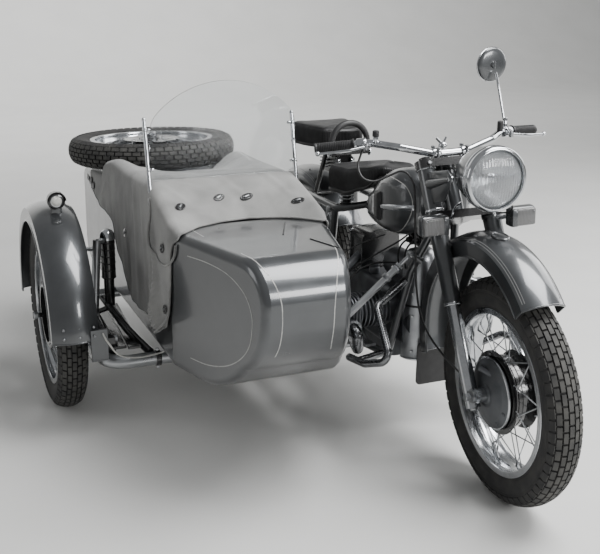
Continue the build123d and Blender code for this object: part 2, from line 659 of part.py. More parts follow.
def swing_arm():
    """Rear swing arm with the left arm, its axle plate and the rear axle."""
    pivot = rod((-92, PIVOT_Y, PIVOT_Z), (92, PIVOT_Y, PIVOT_Z), PIVOT_TUBE_D)
    arm = tube([(84, PIVOT_Y, PIVOT_Z), (84, PIVOT_Y + 150, PIVOT_Z), (84, -14, TYRE_R)], 36, 200)
    eye = disc((62, 0, TYRE_R), (1, 0, 0), 33, 41)
    lug = rod((84, DAMPER_Y, DAMPER_FOOT_Z), (DAMPER_X + 15, DAMPER_Y, DAMPER_FOOT_Z), DAMPER_PIN_D)
    axle = rod((-66, 0, TYRE_R), (116, 0, TYRE_R), AXLE_D)
    return pivot + arm + eye + lug + axle - rod((-110, PIVOT_Y, PIVOT_Z), (110, PIVOT_Y, PIVOT_Z), AXLE_D)


def final_drive():
    """Shaft housing along the right of the wheel and the bevel box at the axle."""
    casing = rod((-96, PIVOT_Y + 24, PIVOT_Z), (-96, -80, TYRE_R), 44)
    box = disc((-64, 0, TYRE_R), (-1, 0, 0), 92, 46) + disc((-110, 0, TYRE_R), (-1, 0, 0), 54, 22)
    neck = rod((-96, -120, TYRE_R), (-96, -60, TYRE_R), 66)
    lug = rod((-96, DAMPER_Y, DAMPER_FOOT_Z), (-DAMPER_X - 15, DAMPER_Y, DAMPER_FOOT_Z), DAMPER_PIN_D)
    bore = rod((-66, 0, TYRE_R), (-40, 0, TYRE_R), AXLE_D)
    return casing + box + neck + lug - bore - swing_arm()


def rear_dampers():
    """Two spring units from the swing arm to the subframe's lugs."""
    span = SUBFRAME_Z - DAMPER_FOOT_Z
    # columns: radius, height above the lower pin
    steps = [(0, 0), (15, 0), (15, 120), (29, 132), (29, span - 30), (22, span - 16), (0, span - 16)]
    body = revolve(Plane.XZ * make_face(Polyline(*steps, close=True)), Axis.Z, 360)
    top = Pos(0, 0, span) * (Rot(0, 90, 0) * Cylinder(19, 2 * DAMPER_EYE_HALF))
    foot = Rot(0, 90, 0) * Cylinder(DAMPER_PIN_D / 2 + 9, 2 * DAMPER_EYE_HALF)
    slot = Rot(0, 90, 0) * Cylinder(DAMPER_PIN_D / 2, 80)
    return Compound(children=both_sides(Pos(-DAMPER_X, DAMPER_Y, DAMPER_FOOT_Z) * (body + top + foot - slot)))


def fuel_tank():
    """Tear-shaped tank lofted over the top tube, with a tunnel along its underside."""
    # columns: y, half width, bottom z, top z, corner radius
    sections = [(-1076, 84, 778, 898, 40), (-1010, 132, 726, 936, 60), (-900, 140, 706, 922, 62),
                (-760, 112, 706, 838, 46), (TANK_REAR_Y, 58, 712, 770, 22)]
    faces = []
    for y, half, low, high, corner in sections:
        plane = Plane(origin=(0, y, (low + high) / 2), x_dir=(1, 0, 0), z_dir=(0, -1, 0))
        faces.append(plane * RectangleRounded(2 * half, high - low, corner))
    tank = loft(faces)
    tunnel = tube([fork_point(0, -18, 670), (0, -940, 812), (0, TANK_REAR_Y + 40, TOP_TUBE_REAR_Z)], TOP_TUBE_D + 8, 150)
    slot = block(-24, 24, -1100, TANK_REAR_Y + 20, 640, 790)
    cap = Pos(0, -1000, 936) * Cylinder(34, 24)
    return tank - tunnel - slot + cap


def saddle(front_y, rear_y, low, high, tip_half, rear_half, tip_low, tip_high):
    """Pear-shaped rubber saddle: narrow front, broad rear."""
    length = rear_y - front_y
    # columns: share of the length, half width, bottom z, top z
    rows = [(0.0, tip_half * 0.6, tip_low + 12, tip_high - 10), (0.12, tip_half, tip_low, tip_high),
            (0.6, rear_half * 0.88, low, high), (0.9, rear_half, low, high - 2), (1.0, rear_half * 0.8, low + 14, high - 16)]
    faces = []
    for share, half, z0, z1 in rows:
        plane = Plane(origin=(0, front_y + share * length, (z0 + z1) / 2), x_dir=(1, 0, 0), z_dir=(0, -1, 0))
        faces.append(plane * RectangleRounded(2 * half, z1 - z0, min(half, (z1 - z0) / 2) * 0.72))
    return loft(faces)


def rider_saddle():
    """Rider's saddle."""
    return saddle(-800, -404, 770, 872, 62, 138, 872, 908)


def pillion_saddle():
    """Passenger's saddle behind and above the rider's."""
    return saddle(PILLION_Y, -12, 893, 980, 84, 130, 900, 980)


def saddle_brackets():
    """Rider's saddle springs and nose pivot, and the pillion saddle's bracket."""
    pieces = [rod((side * 74, -486, SUBFRAME_Z + 8), (side * 74, -490, 790), 34) for side in (-1, 1)]
    pieces.append(rod((-116, -486, SUBFRAME_Z + 6), (116, -486, SUBFRAME_Z + 6), 20))
    tower = block(-26, 26, -300, -150, 790, 893) + block(-60, 60, PILLION_Y - 36, -60, 881, 893)
    spring = [rod((side * 92, -230, SUBFRAME_Z + 4), (side * 46, -230, 884), 18) for side in (-1, 1)]
    bridge = rod((-122, -230, SUBFRAME_Z + 4), (122, -230, SUBFRAME_Z + 4), 18)
    nose = rod((0, -592, TOP_TUBE_REAR_Z), (0, -596, 830), 22)
    rear = Part() + pieces
    rear = rear - rider_saddle() - main_frame()
    perch = tower + spring + bridge - main_frame() - rear_fender() - pillion_saddle()
    return Compound(children=[rear, perch, nose - rider_saddle() - main_frame()])


def pillion_handle():
    """Rubber-covered hoop ahead of the pillion saddle."""
    y = PILLION_Y - 27
    half = HOOP_HALF
    hoop = tube([(-half, y, 884), (-half, y, HOOP_TOP_Z), (half, y, HOOP_TOP_Z), (half, y, 884)], HOOP_D, half - 2)
    foot = rod((-half - 8, y, 886), (half + 8, y, 886), HOOP_D - 8)
    return hoop + foot - saddle_brackets() - pillion_saddle()


def rear_fender():
    """Rear fender over the wheel, with cross stays to the subframe."""
    shell = fender_shell(REAR_AXLE, REAR_FENDER_R, REAR_FENDER_W, 36, 176)
    stays = [rod((side * (REAR_FENDER_W / 2 - 1), 30, SUBFRAME_Z), (side * (SUBFRAME_X - 12), 30, SUBFRAME_Z), 16) for side in (-1, 1)]
    return shell + stays - main_frame()


def tail_lamp():
    """Tail lamp housing with a blank plate bracket on the rear fender."""
    y = TAIL_LAMP_Y
    z = TAIL_LAMP_Z
    mount = block(-30, 30, y - 44, y + 6, z - 26, z + 26)
    lamp = disc((0, y + 4, z), (0, 1, 0), 34, 32)
    plate = block(-100, 100, PLATE_Y, PLATE_Y + PLATE_T, PLATE_Z - 55, PLATE_Z + 55)
    for x in (-PLATE_HOLE_DX / 2, PLATE_HOLE_DX / 2):
        for dz in (-PLATE_HOLE_DZ / 2, PLATE_HOLE_DZ / 2):
            plate -= rod((x, PLATE_Y - 5, PLATE_Z + dz), (x, PLATE_Y + 12, PLATE_Z + dz), 2 * PLATE_HOLE_R)
    arm = block(-20, 20, y - 10, PLATE_Y, PLATE_Z - 12, PLATE_Z + 46)
    clear = disc((-REAR_FENDER_W / 2, 0, TYRE_R), (1, 0, 0), REAR_FENDER_R, REAR_FENDER_W)
    return mount + lamp + plate + arm - clear


def crash_bars():
    """Guards ahead of the cylinders: from the down tube out, round and back to the lower rail."""
    bar = tube([(84, -996, 566), (236, -1078, 512), (252, -1216, 372), (296, -1120, 338), (300, -1004, 322),
                (244, -962, 284), (100, -916, 284)], 26, 30)
    return Compound(children=both_sides(bar - main_frame()))


def footrests():
    """Rider's and pillion's rubber pegs on their brackets."""
    pieces = []
    for y in (-704, -366):
        peg = rod((RAIL_X + 36, y, PEG_Z), (262, y, PEG_Z), PEG_D) + rod((RAIL_X, y, RAIL_Z + 8), (RAIL_X + 40, y, PEG_Z), 16)
        pieces += both_sides(peg - main_frame())
    return Compound(children=pieces)


def foot_controls():
    """Brake pedal on the right, gear lever and kick starter on the left."""
    shaft = rod((-CRANKCASE_HALF, -716, 338), (-150, -716, 338), 18)
    pedal = tube([(-150, -716, 338), (-156, -800, 330), (-160, -868, 306)], 13, 60)
    pad = block(-184, -146, -900, -862, 304, 313)
    gear = rod((84, -560, 372), (140, -560, 372), 16) + rod((140, -650, 382), (140, -490, 364), 13) + rod((140, -650, 382), (176, -650, 382), 15)
    kick = rod((84, -500, 432), (130, -500, 432), 18) + rod((126, -500, 432), (146, -420, 566), 15) + rod((146, -420, 566), (216, -420, 566), 20)
    return Compound(children=[shaft + pedal + pad, gear, kick])


def centre_stand():
    """Two-legged stand folded back along the lower rails."""
    foot_y = STAND_PIVOT_Y + STAND_LEG_L * cos(radians(14))
    foot_z = STAND_PIVOT_Z - STAND_LEG_L * sin(radians(14))
    legs = []
    for side in (-1, 1):
        legs.append(rod((side * 107, STAND_PIVOT_Y, STAND_PIVOT_Z), (side * 134, foot_y, foot_z), STAND_D))
        legs.append(disc((side * 97, STAND_PIVOT_Y, STAND_PIVOT_Z), (side, 0, 0), 13, 18))
        legs.append(rod((side * 120, foot_y - 10, foot_z), (side * 148, foot_y + 8, foot_z), 20))
    bridge = rod((-110, STAND_PIVOT_Y + 66, STAND_PIVOT_Z - 16), (110, STAND_PIVOT_Y + 66, STAND_PIVOT_Z - 16), 18)
    pin_bore = rod((-140, STAND_PIVOT_Y, STAND_PIVOT_Z), (140, STAND_PIVOT_Y, STAND_PIVOT_Z), STAND_PIN_D + 1)
    return Part() + legs + bridge - pin_bore


# Sidecar

def sidecar_chassis():
    """Perimeter of large tubes, with a raised inner horn and two joints to the motorcycle's lower rail."""
    outer = tube([(OUTER_RAIL_X, REAR_CROSS_Y, CHASSIS_Z), (OUTER_RAIL_X, FRONT_CROSS_Y, CHASSIS_Z),
                  (INNER_RAIL_X, FRONT_CROSS_Y, CHASSIS_Z)], CHASSIS_D, 80)
    inner = tube([(INNER_RAIL_X, REAR_CROSS_Y, CHASSIS_Z), (INNER_RAIL_X, -900, CHASSIS_Z), (HORN_X, HORN_Y + 12, CHASSIS_Z + 40),
                  (HORN_X, HORN_Y, HORN_Z)], CHASSIS_D - 14, 50)
    rear = rod((OUTER_RAIL_X, REAR_CROSS_Y, CHASSIS_Z), (INNER_RAIL_X, REAR_CROSS_Y, CHASSIS_Z), CHASSIS_D - 6)
    joints = [rod((INNER_RAIL_X, y, CHASSIS_Z), (-RAIL_X, y + 20, RAIL_Z), 30) for y in (-760, -424)]
    tower = rod((OUTER_RAIL_X + 6, -372, CHASSIS_Z), (-992, -346, 634), 30)
    head = rod((-992, -346, 626), (DAMPER_SIDE_X, -322, 626), 22)
    stay = rod((-990, -346, 600), (-1064, -316, 600), 16)
    return Part() + [outer, inner, rear, tower, head, stay] + joints - main_frame()


def sidecar_struts():
    """Upper front and rear struts, each a threaded rod in a sleeve with its eyes."""
    struts = []
    chassis = sidecar_chassis()
    frame = main_frame()
    for start, end in (((-92, -1036, 664), (HORN_X, HORN_Y, HORN_Z + 6)), ((-124, -440, SUBFRAME_Z - 12), (INNER_RAIL_X, -262, CHASSIS_Z + 8))):
        start, end = Vector(*start), Vector(*end)
        span = (end - start).normalized()
        length = (end - start).length
        bar = rod(start, end, 13) + rod(start + span * 74, start + span * (length - 8), 23)
        bar += rod(start + span * 52, start + span * 60, 26) + rod(start + span * 70, start + span * 78, 32)
        bar += Pos(*start) * Sphere(13)
        struts.append(bar - chassis - frame)
    return Compound(children=struts)


def sidecar_swing_arm():
    """Trailing arm of the sidecar wheel with its pivot bracket, stub axle and fixed brake plate."""
    bracket = block(ARM_X - 20, ARM_X + 20, ARM_PIVOT_Y - 22, ARM_PIVOT_Y + 22, CHASSIS_Z, ARM_PIVOT_Z + 10)
    arm = rod((ARM_X, ARM_PIVOT_Y, ARM_PIVOT_Z), (ARM_X, -WHEEL_LEAD, TYRE_R), 38)
    knuckle = disc((ARM_X - 28, -WHEEL_LEAD, TYRE_R), (1, 0, 0), 32, 50)
    axle = rod((ARM_X, -WHEEL_LEAD, TYRE_R), (-TRACK - HUB_W / 2 - 26, -WHEEL_LEAD, TYRE_R), AXLE_D)
    lug = rod((ARM_X, -304, TYRE_R), (DAMPER_SIDE_X, -304, TYRE_R + 16), 20)
    plate = turned_profile([(AXLE_D / 2 - 1, 0), (PLATE_R, 0), (PLATE_R, 8), (40, 22), (AXLE_D / 2 - 1, 22)],
                           (-TRACK + HUB_W / 2 + HUB_SIDE_GAP, -WHEEL_LEAD, TYRE_R))
    return Part() + [bracket, arm, knuckle, axle, lug, plate] - sidecar_chassis()


def sidecar_damper():
    """Spring unit of the sidecar wheel with its domed cap."""
    low = Vector(DAMPER_SIDE_X, -304, TYRE_R + 16)
    high = Vector(DAMPER_SIDE_X, -322, 640)
    span = (high - low).normalized()
    unit = rod(low, low + span * 140, 38) + rod(low + span * 120, high - span * 4, 52)
    unit += Pos(*(high - span * 4)) * Sphere(26)
    return unit - sidecar_chassis() - sidecar_swing_arm()


def sidecar_fender():
    """Sidecar fender with its stay to the chassis tower."""
    shell = fender_shell(SIDE_AXLE, SIDE_FENDER_R, SIDE_FENDER_W, 3, 178)
    foot = block(-1090, -1030, -668, -600, 296, 300)
    web = extrude(Plane(origin=(-1062, -660, 296)) * Rectangle(56, 12), 110)
    return shell + foot + web


def marker_lamp():
    """Round lamp on the sidecar fender's crown, facing forward."""
    centre = Vector(-TRACK + 6, -382, 796)
    body = disc(centre, (0, 1, 0), 30, 46)
    lens = disc(centre, (0, -1, 0), 27, 8)
    foot = block(centre.X - 20, centre.X + 20, centre.Y + 4, centre.Y + 44, centre.Z - 60, centre.Z - 20)
    clear = disc((centre.X - 90, SIDE_AXLE.Y, SIDE_AXLE.Z), (1, 0, 0), SIDE_FENDER_R, 200)
    return body + lens + foot - clear


def tub_solid(inset):
    """Form of the sidecar body inset by a wall, with sharp edges: side profile cut to the plan."""
    i = inset
    side = make_face([
        Line((TAPER_Y, DECK_Z - i), (-1270, DECK_Z - i)),
        ThreePointArc((-1270, DECK_Z - i), (-1374 + i * 0.7, 740 - i * 0.7), (NOSE_Y + i, 640)),
        ThreePointArc((NOSE_Y + i, 640), (-1372 + i * 0.8, 524 + i * 0.3), (-1290 + i * 0.6, 444 + i * 0.5)),
        ThreePointArc((-1290 + i * 0.6, 444 + i * 0.5), (-1180, 364 + i), (-1040, TUB_FLOOR_Z + i)),
        Line((-1040, TUB_FLOOR_Z + i), (470, TUB_FLOOR_Z + i)),
        ThreePointArc((470, TUB_FLOOR_Z + i), (530 - i * 0.7, 358 + i * 0.7), (TUB_TAIL_Y - i, 430)),
        Line((TUB_TAIL_Y - i, 430), (TUB_TAIL_Y - i - 20, BOOT_TOP_Z - 40)),
        ThreePointArc((TUB_TAIL_Y - i - 20, BOOT_TOP_Z - 40), (TUB_TAIL_Y - 34 - i, BOOT_TOP_Z - 12 - i * 0.7),
                      (TUB_TAIL_Y - 66 - i, BOOT_TOP_Z - i)),
        Line((TUB_TAIL_Y - 66 - i, BOOT_TOP_Z - i), (COCKPIT_REAR_Y, BOOT_TOP_Z - i)),
        Line((COCKPIT_REAR_Y, BOOT_TOP_Z - i), (TAPER_Y, DECK_Z - i)),
    ])
    plane = Plane(origin=(TUB_X, 0, 0), x_dir=(0, 1, 0), z_dir=(1, 0, 0))
    body = plane * extrude(side, TUB_HALF, both=True)
    half = TUB_HALF - i
    nose = NOSE_HALF - i
    plan = make_face(Polyline((-half, TUB_TAIL_Y + 10), (half, TUB_TAIL_Y + 10), (half, TAPER_Y), (nose, NOSE_Y - 4),
                              (-nose, NOSE_Y - 4), (-half, TAPER_Y), close=True))
    return body & (Pos(TUB_X, 0, 0) * extrude(plan, 1000))


def tub_form():
    """Outer form of the sidecar body with its rolled side edges."""
    body = tub_solid(0)
    sides = [face for face in body.faces() if abs(face.normal_at().X) > 0.9]
    rims = [edge for face in sides for edge in face.edges() if edge.bounding_box().size.Y >= 1]
    return fillet(rims, TUB_EDGE_R)


def sidecar_tub():
    """Hollow sidecar body with its cockpit opening and boot."""
    tub = tub_form() - tub_solid(TUB_WALL)
    cockpit = block(TUB_X - COCKPIT_HALF, TUB_X + COCKPIT_HALF, COCKPIT_FRONT_Y, COCKPIT_REAR_Y - 40, 600, 900, 60)
    boot = block(TUB_X - 180, TUB_X + 180, 40, 470, 600, 900, 40)
    return tub - cockpit - boot


def tub_mounts():
    """Rubber blocks on the front cross tube and the rear cross tube that carry the body."""
    blocks = []
    for x in (TUB_X - 150, TUB_X + 120):
        for y in (FRONT_CROSS_Y, REAR_CROSS_Y):
            pad = block(x - 30, x + 30, y - 26, y + 26, CHASSIS_Z, TUB_FLOOR_Z)
            blocks.append(pad - rod((x - 60, y, CHASSIS_Z), (x + 60, y, CHASSIS_Z), CHASSIS_D))
    return Compound(children=blocks)


def canvas_section(y, half, top, corner):
    """One upright section of the canvas: straight sides and a round-cornered top."""
    low = 300
    plane = Plane(origin=(TUB_X, y, (top + low) / 2), x_dir=(1, 0, 0), z_dir=(0, -1, 0))
    return plane * RectangleRounded(2 * half, top - low, corner)


def canvas_form(thick):
    """Outer form of the canvas cover, or the space under it."""
    t = thick
    half = TUB_HALF + CANVAS_GAP + t
    base = CANVAS_GAP + t
    # columns: y, half width, top z, corner radius
    rows = [(-1010, half - 24, DECK_Z + base + 1, 24), (-900, half, DECK_Z + base + 14, 26), (SCREEN_Y, half, 888 + t, 44),
            (-300, half, 862 + t, 44), (-96, half, 792 + t, 30), (330, half, BOOT_TOP_Z + base + 4, 12)]
    faces = [canvas_section(*row) for row in rows]
    return loft(faces, ruled=True)


def canvas_cover():
    """Canvas over the cockpit: apron up to the windscreen, tonneau behind it, side walls."""
    shell = canvas_form(CANVAS_T) - canvas_form(0)
    side = Plane(origin=(TUB_X - 400, 0, 0), x_dir=(0, 1, 0), z_dir=(1, 0, 0))
    keep = side * extrude(make_face(Polyline((-1000, 900), (-1000, 770), (-900, 700), (-880, 500), (-832, 440), (-580, 415),
                                             (-310, 405), (-150, 530), (-85, 630), (180, 648), (320, 690),
                                             (320, 900), close=True)), 800)
    shell = shell & keep
    lid_room = block(TUB_X - TUB_HALF + 8, TUB_X + TUB_HALF - 8, LID_HINGE_Y - 20, 400, 700, 960)
    return shell - lid_room


def windscreen():
    """Clear sheet with a round top, slightly raked."""
    plane = Plane(origin=(TUB_X, SCREEN_Y, SCREEN_BASE_Z), x_dir=(1, 0, 0), z_dir=(0, -1, -0.14))
    height = SCREEN_TOP_Z - SCREEN_BASE_Z
    half = SCREEN_HALF
    edge = SCREEN_EDGE_Z - SCREEN_BASE_Z
    outline = make_face([
        Line((-half, 0), (half, 0)),
        Line((half, 0), (half, edge)),
        ThreePointArc((half, edge), (0, height), (-half, edge)),
        Line((-half, edge), (-half, 0)),
    ])
    corners = outline.vertices().sort_by(Axis.Y)[-2:]
    return plane * extrude(fillet(corners, SCREEN_CORNER_R), SCREEN_T)


def windscreen_posts():
    """Two chromed posts that hold the windscreen to the cockpit's edge."""
    posts = []
    for side in (-1, 1):
        x = TUB_X + side * (SCREEN_HALF + POST_D / 2)
        posts.append(rod((x, SCREEN_Y - 34, 816), (x, SCREEN_Y + 24, 1092), POST_D))
    return Compound(children=[post - canvas_form(CANVAS_T) for post in posts])


def lamp_lead():
    """Lead of the marker lamp along the chassis."""
    points = [(-1050, -666, 392), (-1048, -694, 384), (-1010, -704, 318), (-940, -696, 300), (-860, -682, 302),
              (-826, -676, 312), (-822, -676, TUB_FLOOR_Z)]
    return cable("lamp lead", points, LEAD_D) - sidecar_fender() - tub_form()


def boot_lid():
    """Boot lid with the spare wheel's carrier and hinge barrels."""
    lid = block(TUB_X - LID_HALF, TUB_X + LID_HALF, LID_HINGE_Y + 6, LID_TAIL_Y, BOOT_TOP_Z + 1, BOOT_TOP_Z + 1 + LID_T, 40)
    barrels = [rod((TUB_X + x - 30, LID_HINGE_Y, LID_HINGE_Z), (TUB_X + x + 30, LID_HINGE_Y, LID_HINGE_Z), 12) for x in (-120, 120)]
    tabs = [block(TUB_X + x - 28, TUB_X + x + 28, LID_HINGE_Y, LID_HINGE_Y + 30, LID_HINGE_Z - 4, LID_HINGE_Z + 2) for x in (-120, 120)]
    web = -HUB_W / 2 + HUB_DRUM_DEPTH
    post = spare_place(rod((web - 64, 0, 0), (web, 0, 0), 88) + rod((web, 0, 0), (HUB_W / 2 + 22, 0, 0), AXLE_D - 3))
    nut = spare_place(rod((HUB_W / 2, 0, 0), (HUB_W / 2 + 12, 0, 0), 46))
    return lid + barrels + tabs + post + nut


def spare_place(shape):
    """Lay a wheel piece flat on the boot lid, drum down, front edge slightly up."""
    return Pos(TUB_X, SPARE_Y, SPARE_Z) * (Rot(-SPARE_TILT_DEG, 0, 0) * (Rot(0, -90, 0) * shape))


# The list of pieces and the export

def build():
    """All pieces by name, in machine axes."""
    wheel = spoked_wheel()
    rubber = tyre()
    steered_nodes = {
        "fork_yokes": fork_yokes(),
        "fork_shrouds": fork_shrouds(),
        "fork_sliders": fork_sliders(),
        "front_brake_plate": front_brake_plate(),
        "front_fender": front_fender(),
        "mud_flap": mud_flap(),
        "handlebar": handlebar(),
        "hand_controls": hand_controls(),
        "headlamp": headlamp(),
        "headlamp_lens": headlamp_lens(),
        "turn_signals": turn_signals(),
        "mirror": mirror_left(),
        "control_cables": control_cables(),
        "front_tyre": Pos(*FRONT_AXLE) * rubber,
        "front_wheel": Pos(*FRONT_AXLE) * wheel,
    }
    nodes = {
        "main_frame": main_frame(),
        "engine_block": engine_block(),
        "cylinders": cylinders(),
        "cylinder_heads": cylinder_heads(),
        "carburettors": carburettors(),
        "air_cleaner": air_cleaner(),
        "exhausts": exhausts(),
        "swing_arm": swing_arm(),
        "final_drive": final_drive(),
        "rear_dampers": rear_dampers(),
        "fuel_tank": fuel_tank(),
        "rider_saddle": rider_saddle(),
        "pillion_saddle": pillion_saddle(),
        "saddle_brackets": saddle_brackets(),
        "pillion_handle": pillion_handle(),
        "rear_fender": rear_fender(),
        "tail_lamp": tail_lamp(),
        "crash_bars": crash_bars(),
        "footrests": footrests(),
        "foot_controls": foot_controls(),
        "centre_stand": centre_stand(),
        "sidecar_chassis": sidecar_chassis(),
        "sidecar_struts": sidecar_struts(),
        "sidecar_swing_arm": sidecar_swing_arm(),
        "sidecar_damper": sidecar_damper(),
        "sidecar_fender": sidecar_fender(),
        "marker_lamp": marker_lamp(),
        "sidecar_tub": sidecar_tub(),
        "tub_mounts": tub_mounts(),
        "canvas_cover": canvas_cover(),
        "windscreen": windscreen(),
        "windscreen_posts": windscreen_posts(),
        "lamp_lead": lamp_lead(),
        "boot_lid": boot_lid(),
        "spare_tyre": spare_place(rubber),
        "spare_wheel": spare_place(wheel),
        "rear_tyre": Pos(*REAR_AXLE) * rubber,
        "rear_wheel": Pos(*REAR_AXLE) * wheel,
        "sidecar_tyre": Pos(*SIDE_AXLE) * rubber,
        "sidecar_wheel": Pos(*SIDE_AXLE) * (Rot(0, 180, 0) * wheel),
    }
    nodes.update({name: steered(shape) for name, shape in steered_nodes.items()})
    return nodes


def main():
    """Write one STEP file per piece, moved to the outfit's own origin."""
    os.makedirs("parts", exist_ok=True)
    for name, shape in build().items():
        export_step(Pos(*(-ORIGIN)) * shape, os.path.join("parts", name + ".step"))


if __name__ == "__main__":
    main()
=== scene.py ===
"""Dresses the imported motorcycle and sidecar: meshes, finishes, light and camera.

Sizes are written in machine millimetres: +X to the machine's left, +Y to the rear, +Z up, with the
rear axle over Y = 0 and the ground at Z = 0. One function turns them into the frame's metres.
"""
from __future__ import annotations

import logging
import math
from dataclasses import dataclass, field
from enum import Enum
from typing import Iterable, Sequence

import bmesh
import bpy
from mathutils import Matrix, Vector
from mathutils.bvhtree import BVHTree

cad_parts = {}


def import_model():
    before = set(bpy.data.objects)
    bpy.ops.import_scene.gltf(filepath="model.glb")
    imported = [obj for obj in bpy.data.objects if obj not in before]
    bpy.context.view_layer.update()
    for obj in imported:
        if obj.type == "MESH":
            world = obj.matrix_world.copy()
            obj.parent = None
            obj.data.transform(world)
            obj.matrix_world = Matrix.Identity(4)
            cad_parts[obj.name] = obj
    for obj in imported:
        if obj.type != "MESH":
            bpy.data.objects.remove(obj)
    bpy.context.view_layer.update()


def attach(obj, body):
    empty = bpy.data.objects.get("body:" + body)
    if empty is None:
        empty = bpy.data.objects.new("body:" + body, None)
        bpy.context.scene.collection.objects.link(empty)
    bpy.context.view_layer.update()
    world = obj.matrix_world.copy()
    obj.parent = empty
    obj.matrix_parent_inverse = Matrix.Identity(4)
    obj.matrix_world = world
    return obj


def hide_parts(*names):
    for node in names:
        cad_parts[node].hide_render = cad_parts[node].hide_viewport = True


LOG = logging.getLogger("sidecar_outfit")
# From machine coordinates to the frame's, in metres.
SHIFT = Vector((0.4075, 0.583, 0.0))
# The steering axis: its rake, its direction, its foot in machine millimetres, and its turn at rest.
RAKE = math.radians(27.0)
STEER_AXIS = Vector((0.0, math.sin(RAKE), math.cos(RAKE)))
STEM_FOOT = (0.0, -1416.245, 305.325)
STEER_REST = math.radians(-3.76)
# A fork leg's distance to the side and ahead of the steering axis, in millimetres.
LEG_X, LEG_AHEAD = 95.0, 45.0
# Wheel places and the sidecar body's middle, in machine millimetres.
WHEELBASE, WHEEL_R = 1500.0, 348.0
SIDE_WHEEL = (-1137.0, -253.0, WHEEL_R)
TUB_X = -610.0
# Distances in metres within which points are one: in thin painted lines, and in any new part.
LINE_WELD = 0.000001
SAME = 1e-6
UP, REAR = Vector((0, 0, 1)), Vector((0, 1, 0))
X_TO_UP = Matrix.Rotation(-math.pi / 2, 4, "Y")
X_TO_REAR = Matrix.Rotation(math.pi / 2, 4, "Z")

Mesh = bmesh.types.BMesh
Tree = bpy.types.NodeTree
Pair = tuple[float, float]
Spot = tuple[float, float, float]
Outline = Sequence[Pair]


def at(x: float, y: float, z: float) -> Vector:
    """Turn machine millimetres into the frame's metres."""
    return Vector((x, y, z)) * 0.001 + SHIFT


def mm(value: float) -> float:
    """Turn millimetres into metres."""
    return value * 0.001


def off(x: float, y: float, z: float) -> Vector:
    """Turn a step in millimetres into metres."""
    return Vector((mm(x), mm(y), mm(z)))


def place_at(x: float, y: float, z: float) -> Matrix:
    """Give the move from the origin to a machine point."""
    return Matrix.Translation(at(x, y, z))


def fork_at(x: float, ahead: float, up: float) -> Vector:
    """Find a point of the fork, straight ahead, from its distances ahead of and up the steering axis.

    Args:
        x: Distance to the machine's left in millimetres.
        ahead: Distance ahead of the steering axis in millimetres.
        up: Distance along the steering axis from its foot in millimetres.

    Returns:
        The point in the frame's metres.
    """
    forward = Vector((0.0, -math.cos(RAKE), math.sin(RAKE)))
    return at(*STEM_FOOT) + Vector((mm(x), 0, 0)) + forward * mm(ahead) + STEER_AXIS * mm(up)


def steer_turn() -> Matrix:
    """Give the turn of the steered group from straight ahead to the pose at rest."""
    foot = at(*STEM_FOOT)
    return Matrix.Translation(foot) @ Matrix.Rotation(STEER_REST, 4, STEER_AXIS) @ Matrix.Translation(-foot)


def spare_turn() -> Matrix:
    """Give the place of the spare wheel, laid flat on the boot lid with its drum down."""
    tilt = Matrix.Rotation(math.radians(-2.0), 4, "X")
    return place_at(TUB_X, 334.0, 842.0) @ tilt @ Matrix.Rotation(math.radians(-90.0), 4, "Y")


# Finishes


def linear(code: str) -> tuple[float, float, float, float]:
    """Turn an sRGB hex colour into linear light.

    Args:
        code: Six hex digits.

    Returns:
        Red, green, blue and an alpha of one.
    """
    parts = [int(code[i:i + 2], 16) / 255 for i in (0, 2, 4)]
    red, green, blue = (p / 12.92 if p <= 0.04045 else ((p + 0.055) / 1.055) ** 2.4 for p in parts)
    return red, green, blue, 1.0


def feed(tree: Tree, node: bpy.types.Node, **inputs) -> None:
    """Set or link a node's sockets.

    Args:
        tree: The material's node tree.
        node: The node.
        **inputs: Values, output sockets or nodes (their factor or first output), by socket name with
            underscores for spaces, or i0, i1 and so on for a socket's number.
    """
    for name, value in inputs.items():
        key = int(name[1:]) if name[0] == "i" and name[1:].isdigit() else name.replace("_", " ")
        if isinstance(value, bpy.types.Node):
            value = value.outputs.get("Fac", value.outputs[0])
        if isinstance(value, bpy.types.NodeSocket):
            tree.links.new(value, node.inputs[key])
        else:
            node.inputs[key].default_value = value


def add(tree: Tree, kind: str, settings: dict | None = None, **inputs) -> bpy.types.Node:
    """Add one shader node with its settings and links.

    Args:
        tree: The material's node tree.
        kind: Blender's name of the node type, after "ShaderNode".
        settings: Values of the node's own properties; "stops" gives a ramp's places and hex colours.
        **inputs: Its sockets, as in feed.

    Returns:
        The new node.
    """
    node = tree.nodes.new("ShaderNode" + kind)
    for name, value in (settings or {}).items():
        if name != "stops":
            setattr(node, name, value)
            continue
        first, *middle, last = value
        for element, (place, code) in zip(node.color_ramp.elements, (first, last)):
            element.position, element.color = place, linear(code)
        for place, code in middle:
            node.color_ramp.elements.new(place).color = linear(code)
    feed(tree, node, **inputs)
    return node


@dataclass(frozen=True)
class Finish:
    """Base of each finish: a named material with one main shader.

    Attributes:
        name: The material's name, after the real material and its process.
    """

    name: str

    def start(self) -> tuple[Tree, bpy.types.Node, bpy.types.NodeSocket]:
        """Make an empty material.

        Returns:
            Its tree, its main shader and the piece's own coordinates.
        """
        material = bpy.data.materials.new(self.name)
        material.use_nodes = True
        tree = material.node_tree
        tree.nodes.clear()
        shader = add(tree, "BsdfPrincipled")
        add(tree, "OutputMaterial", Surface=shader)
        return tree, shader, add(tree, "TexCoord").outputs["Object"]

    def material(self) -> bpy.types.Material:
        """Give the finish's material, made once."""
        if self.name not in bpy.data.materials:
            self.make()
        return bpy.data.materials[self.name]

    def make(self) -> None:
        """Build the material."""
        raise NotImplementedError


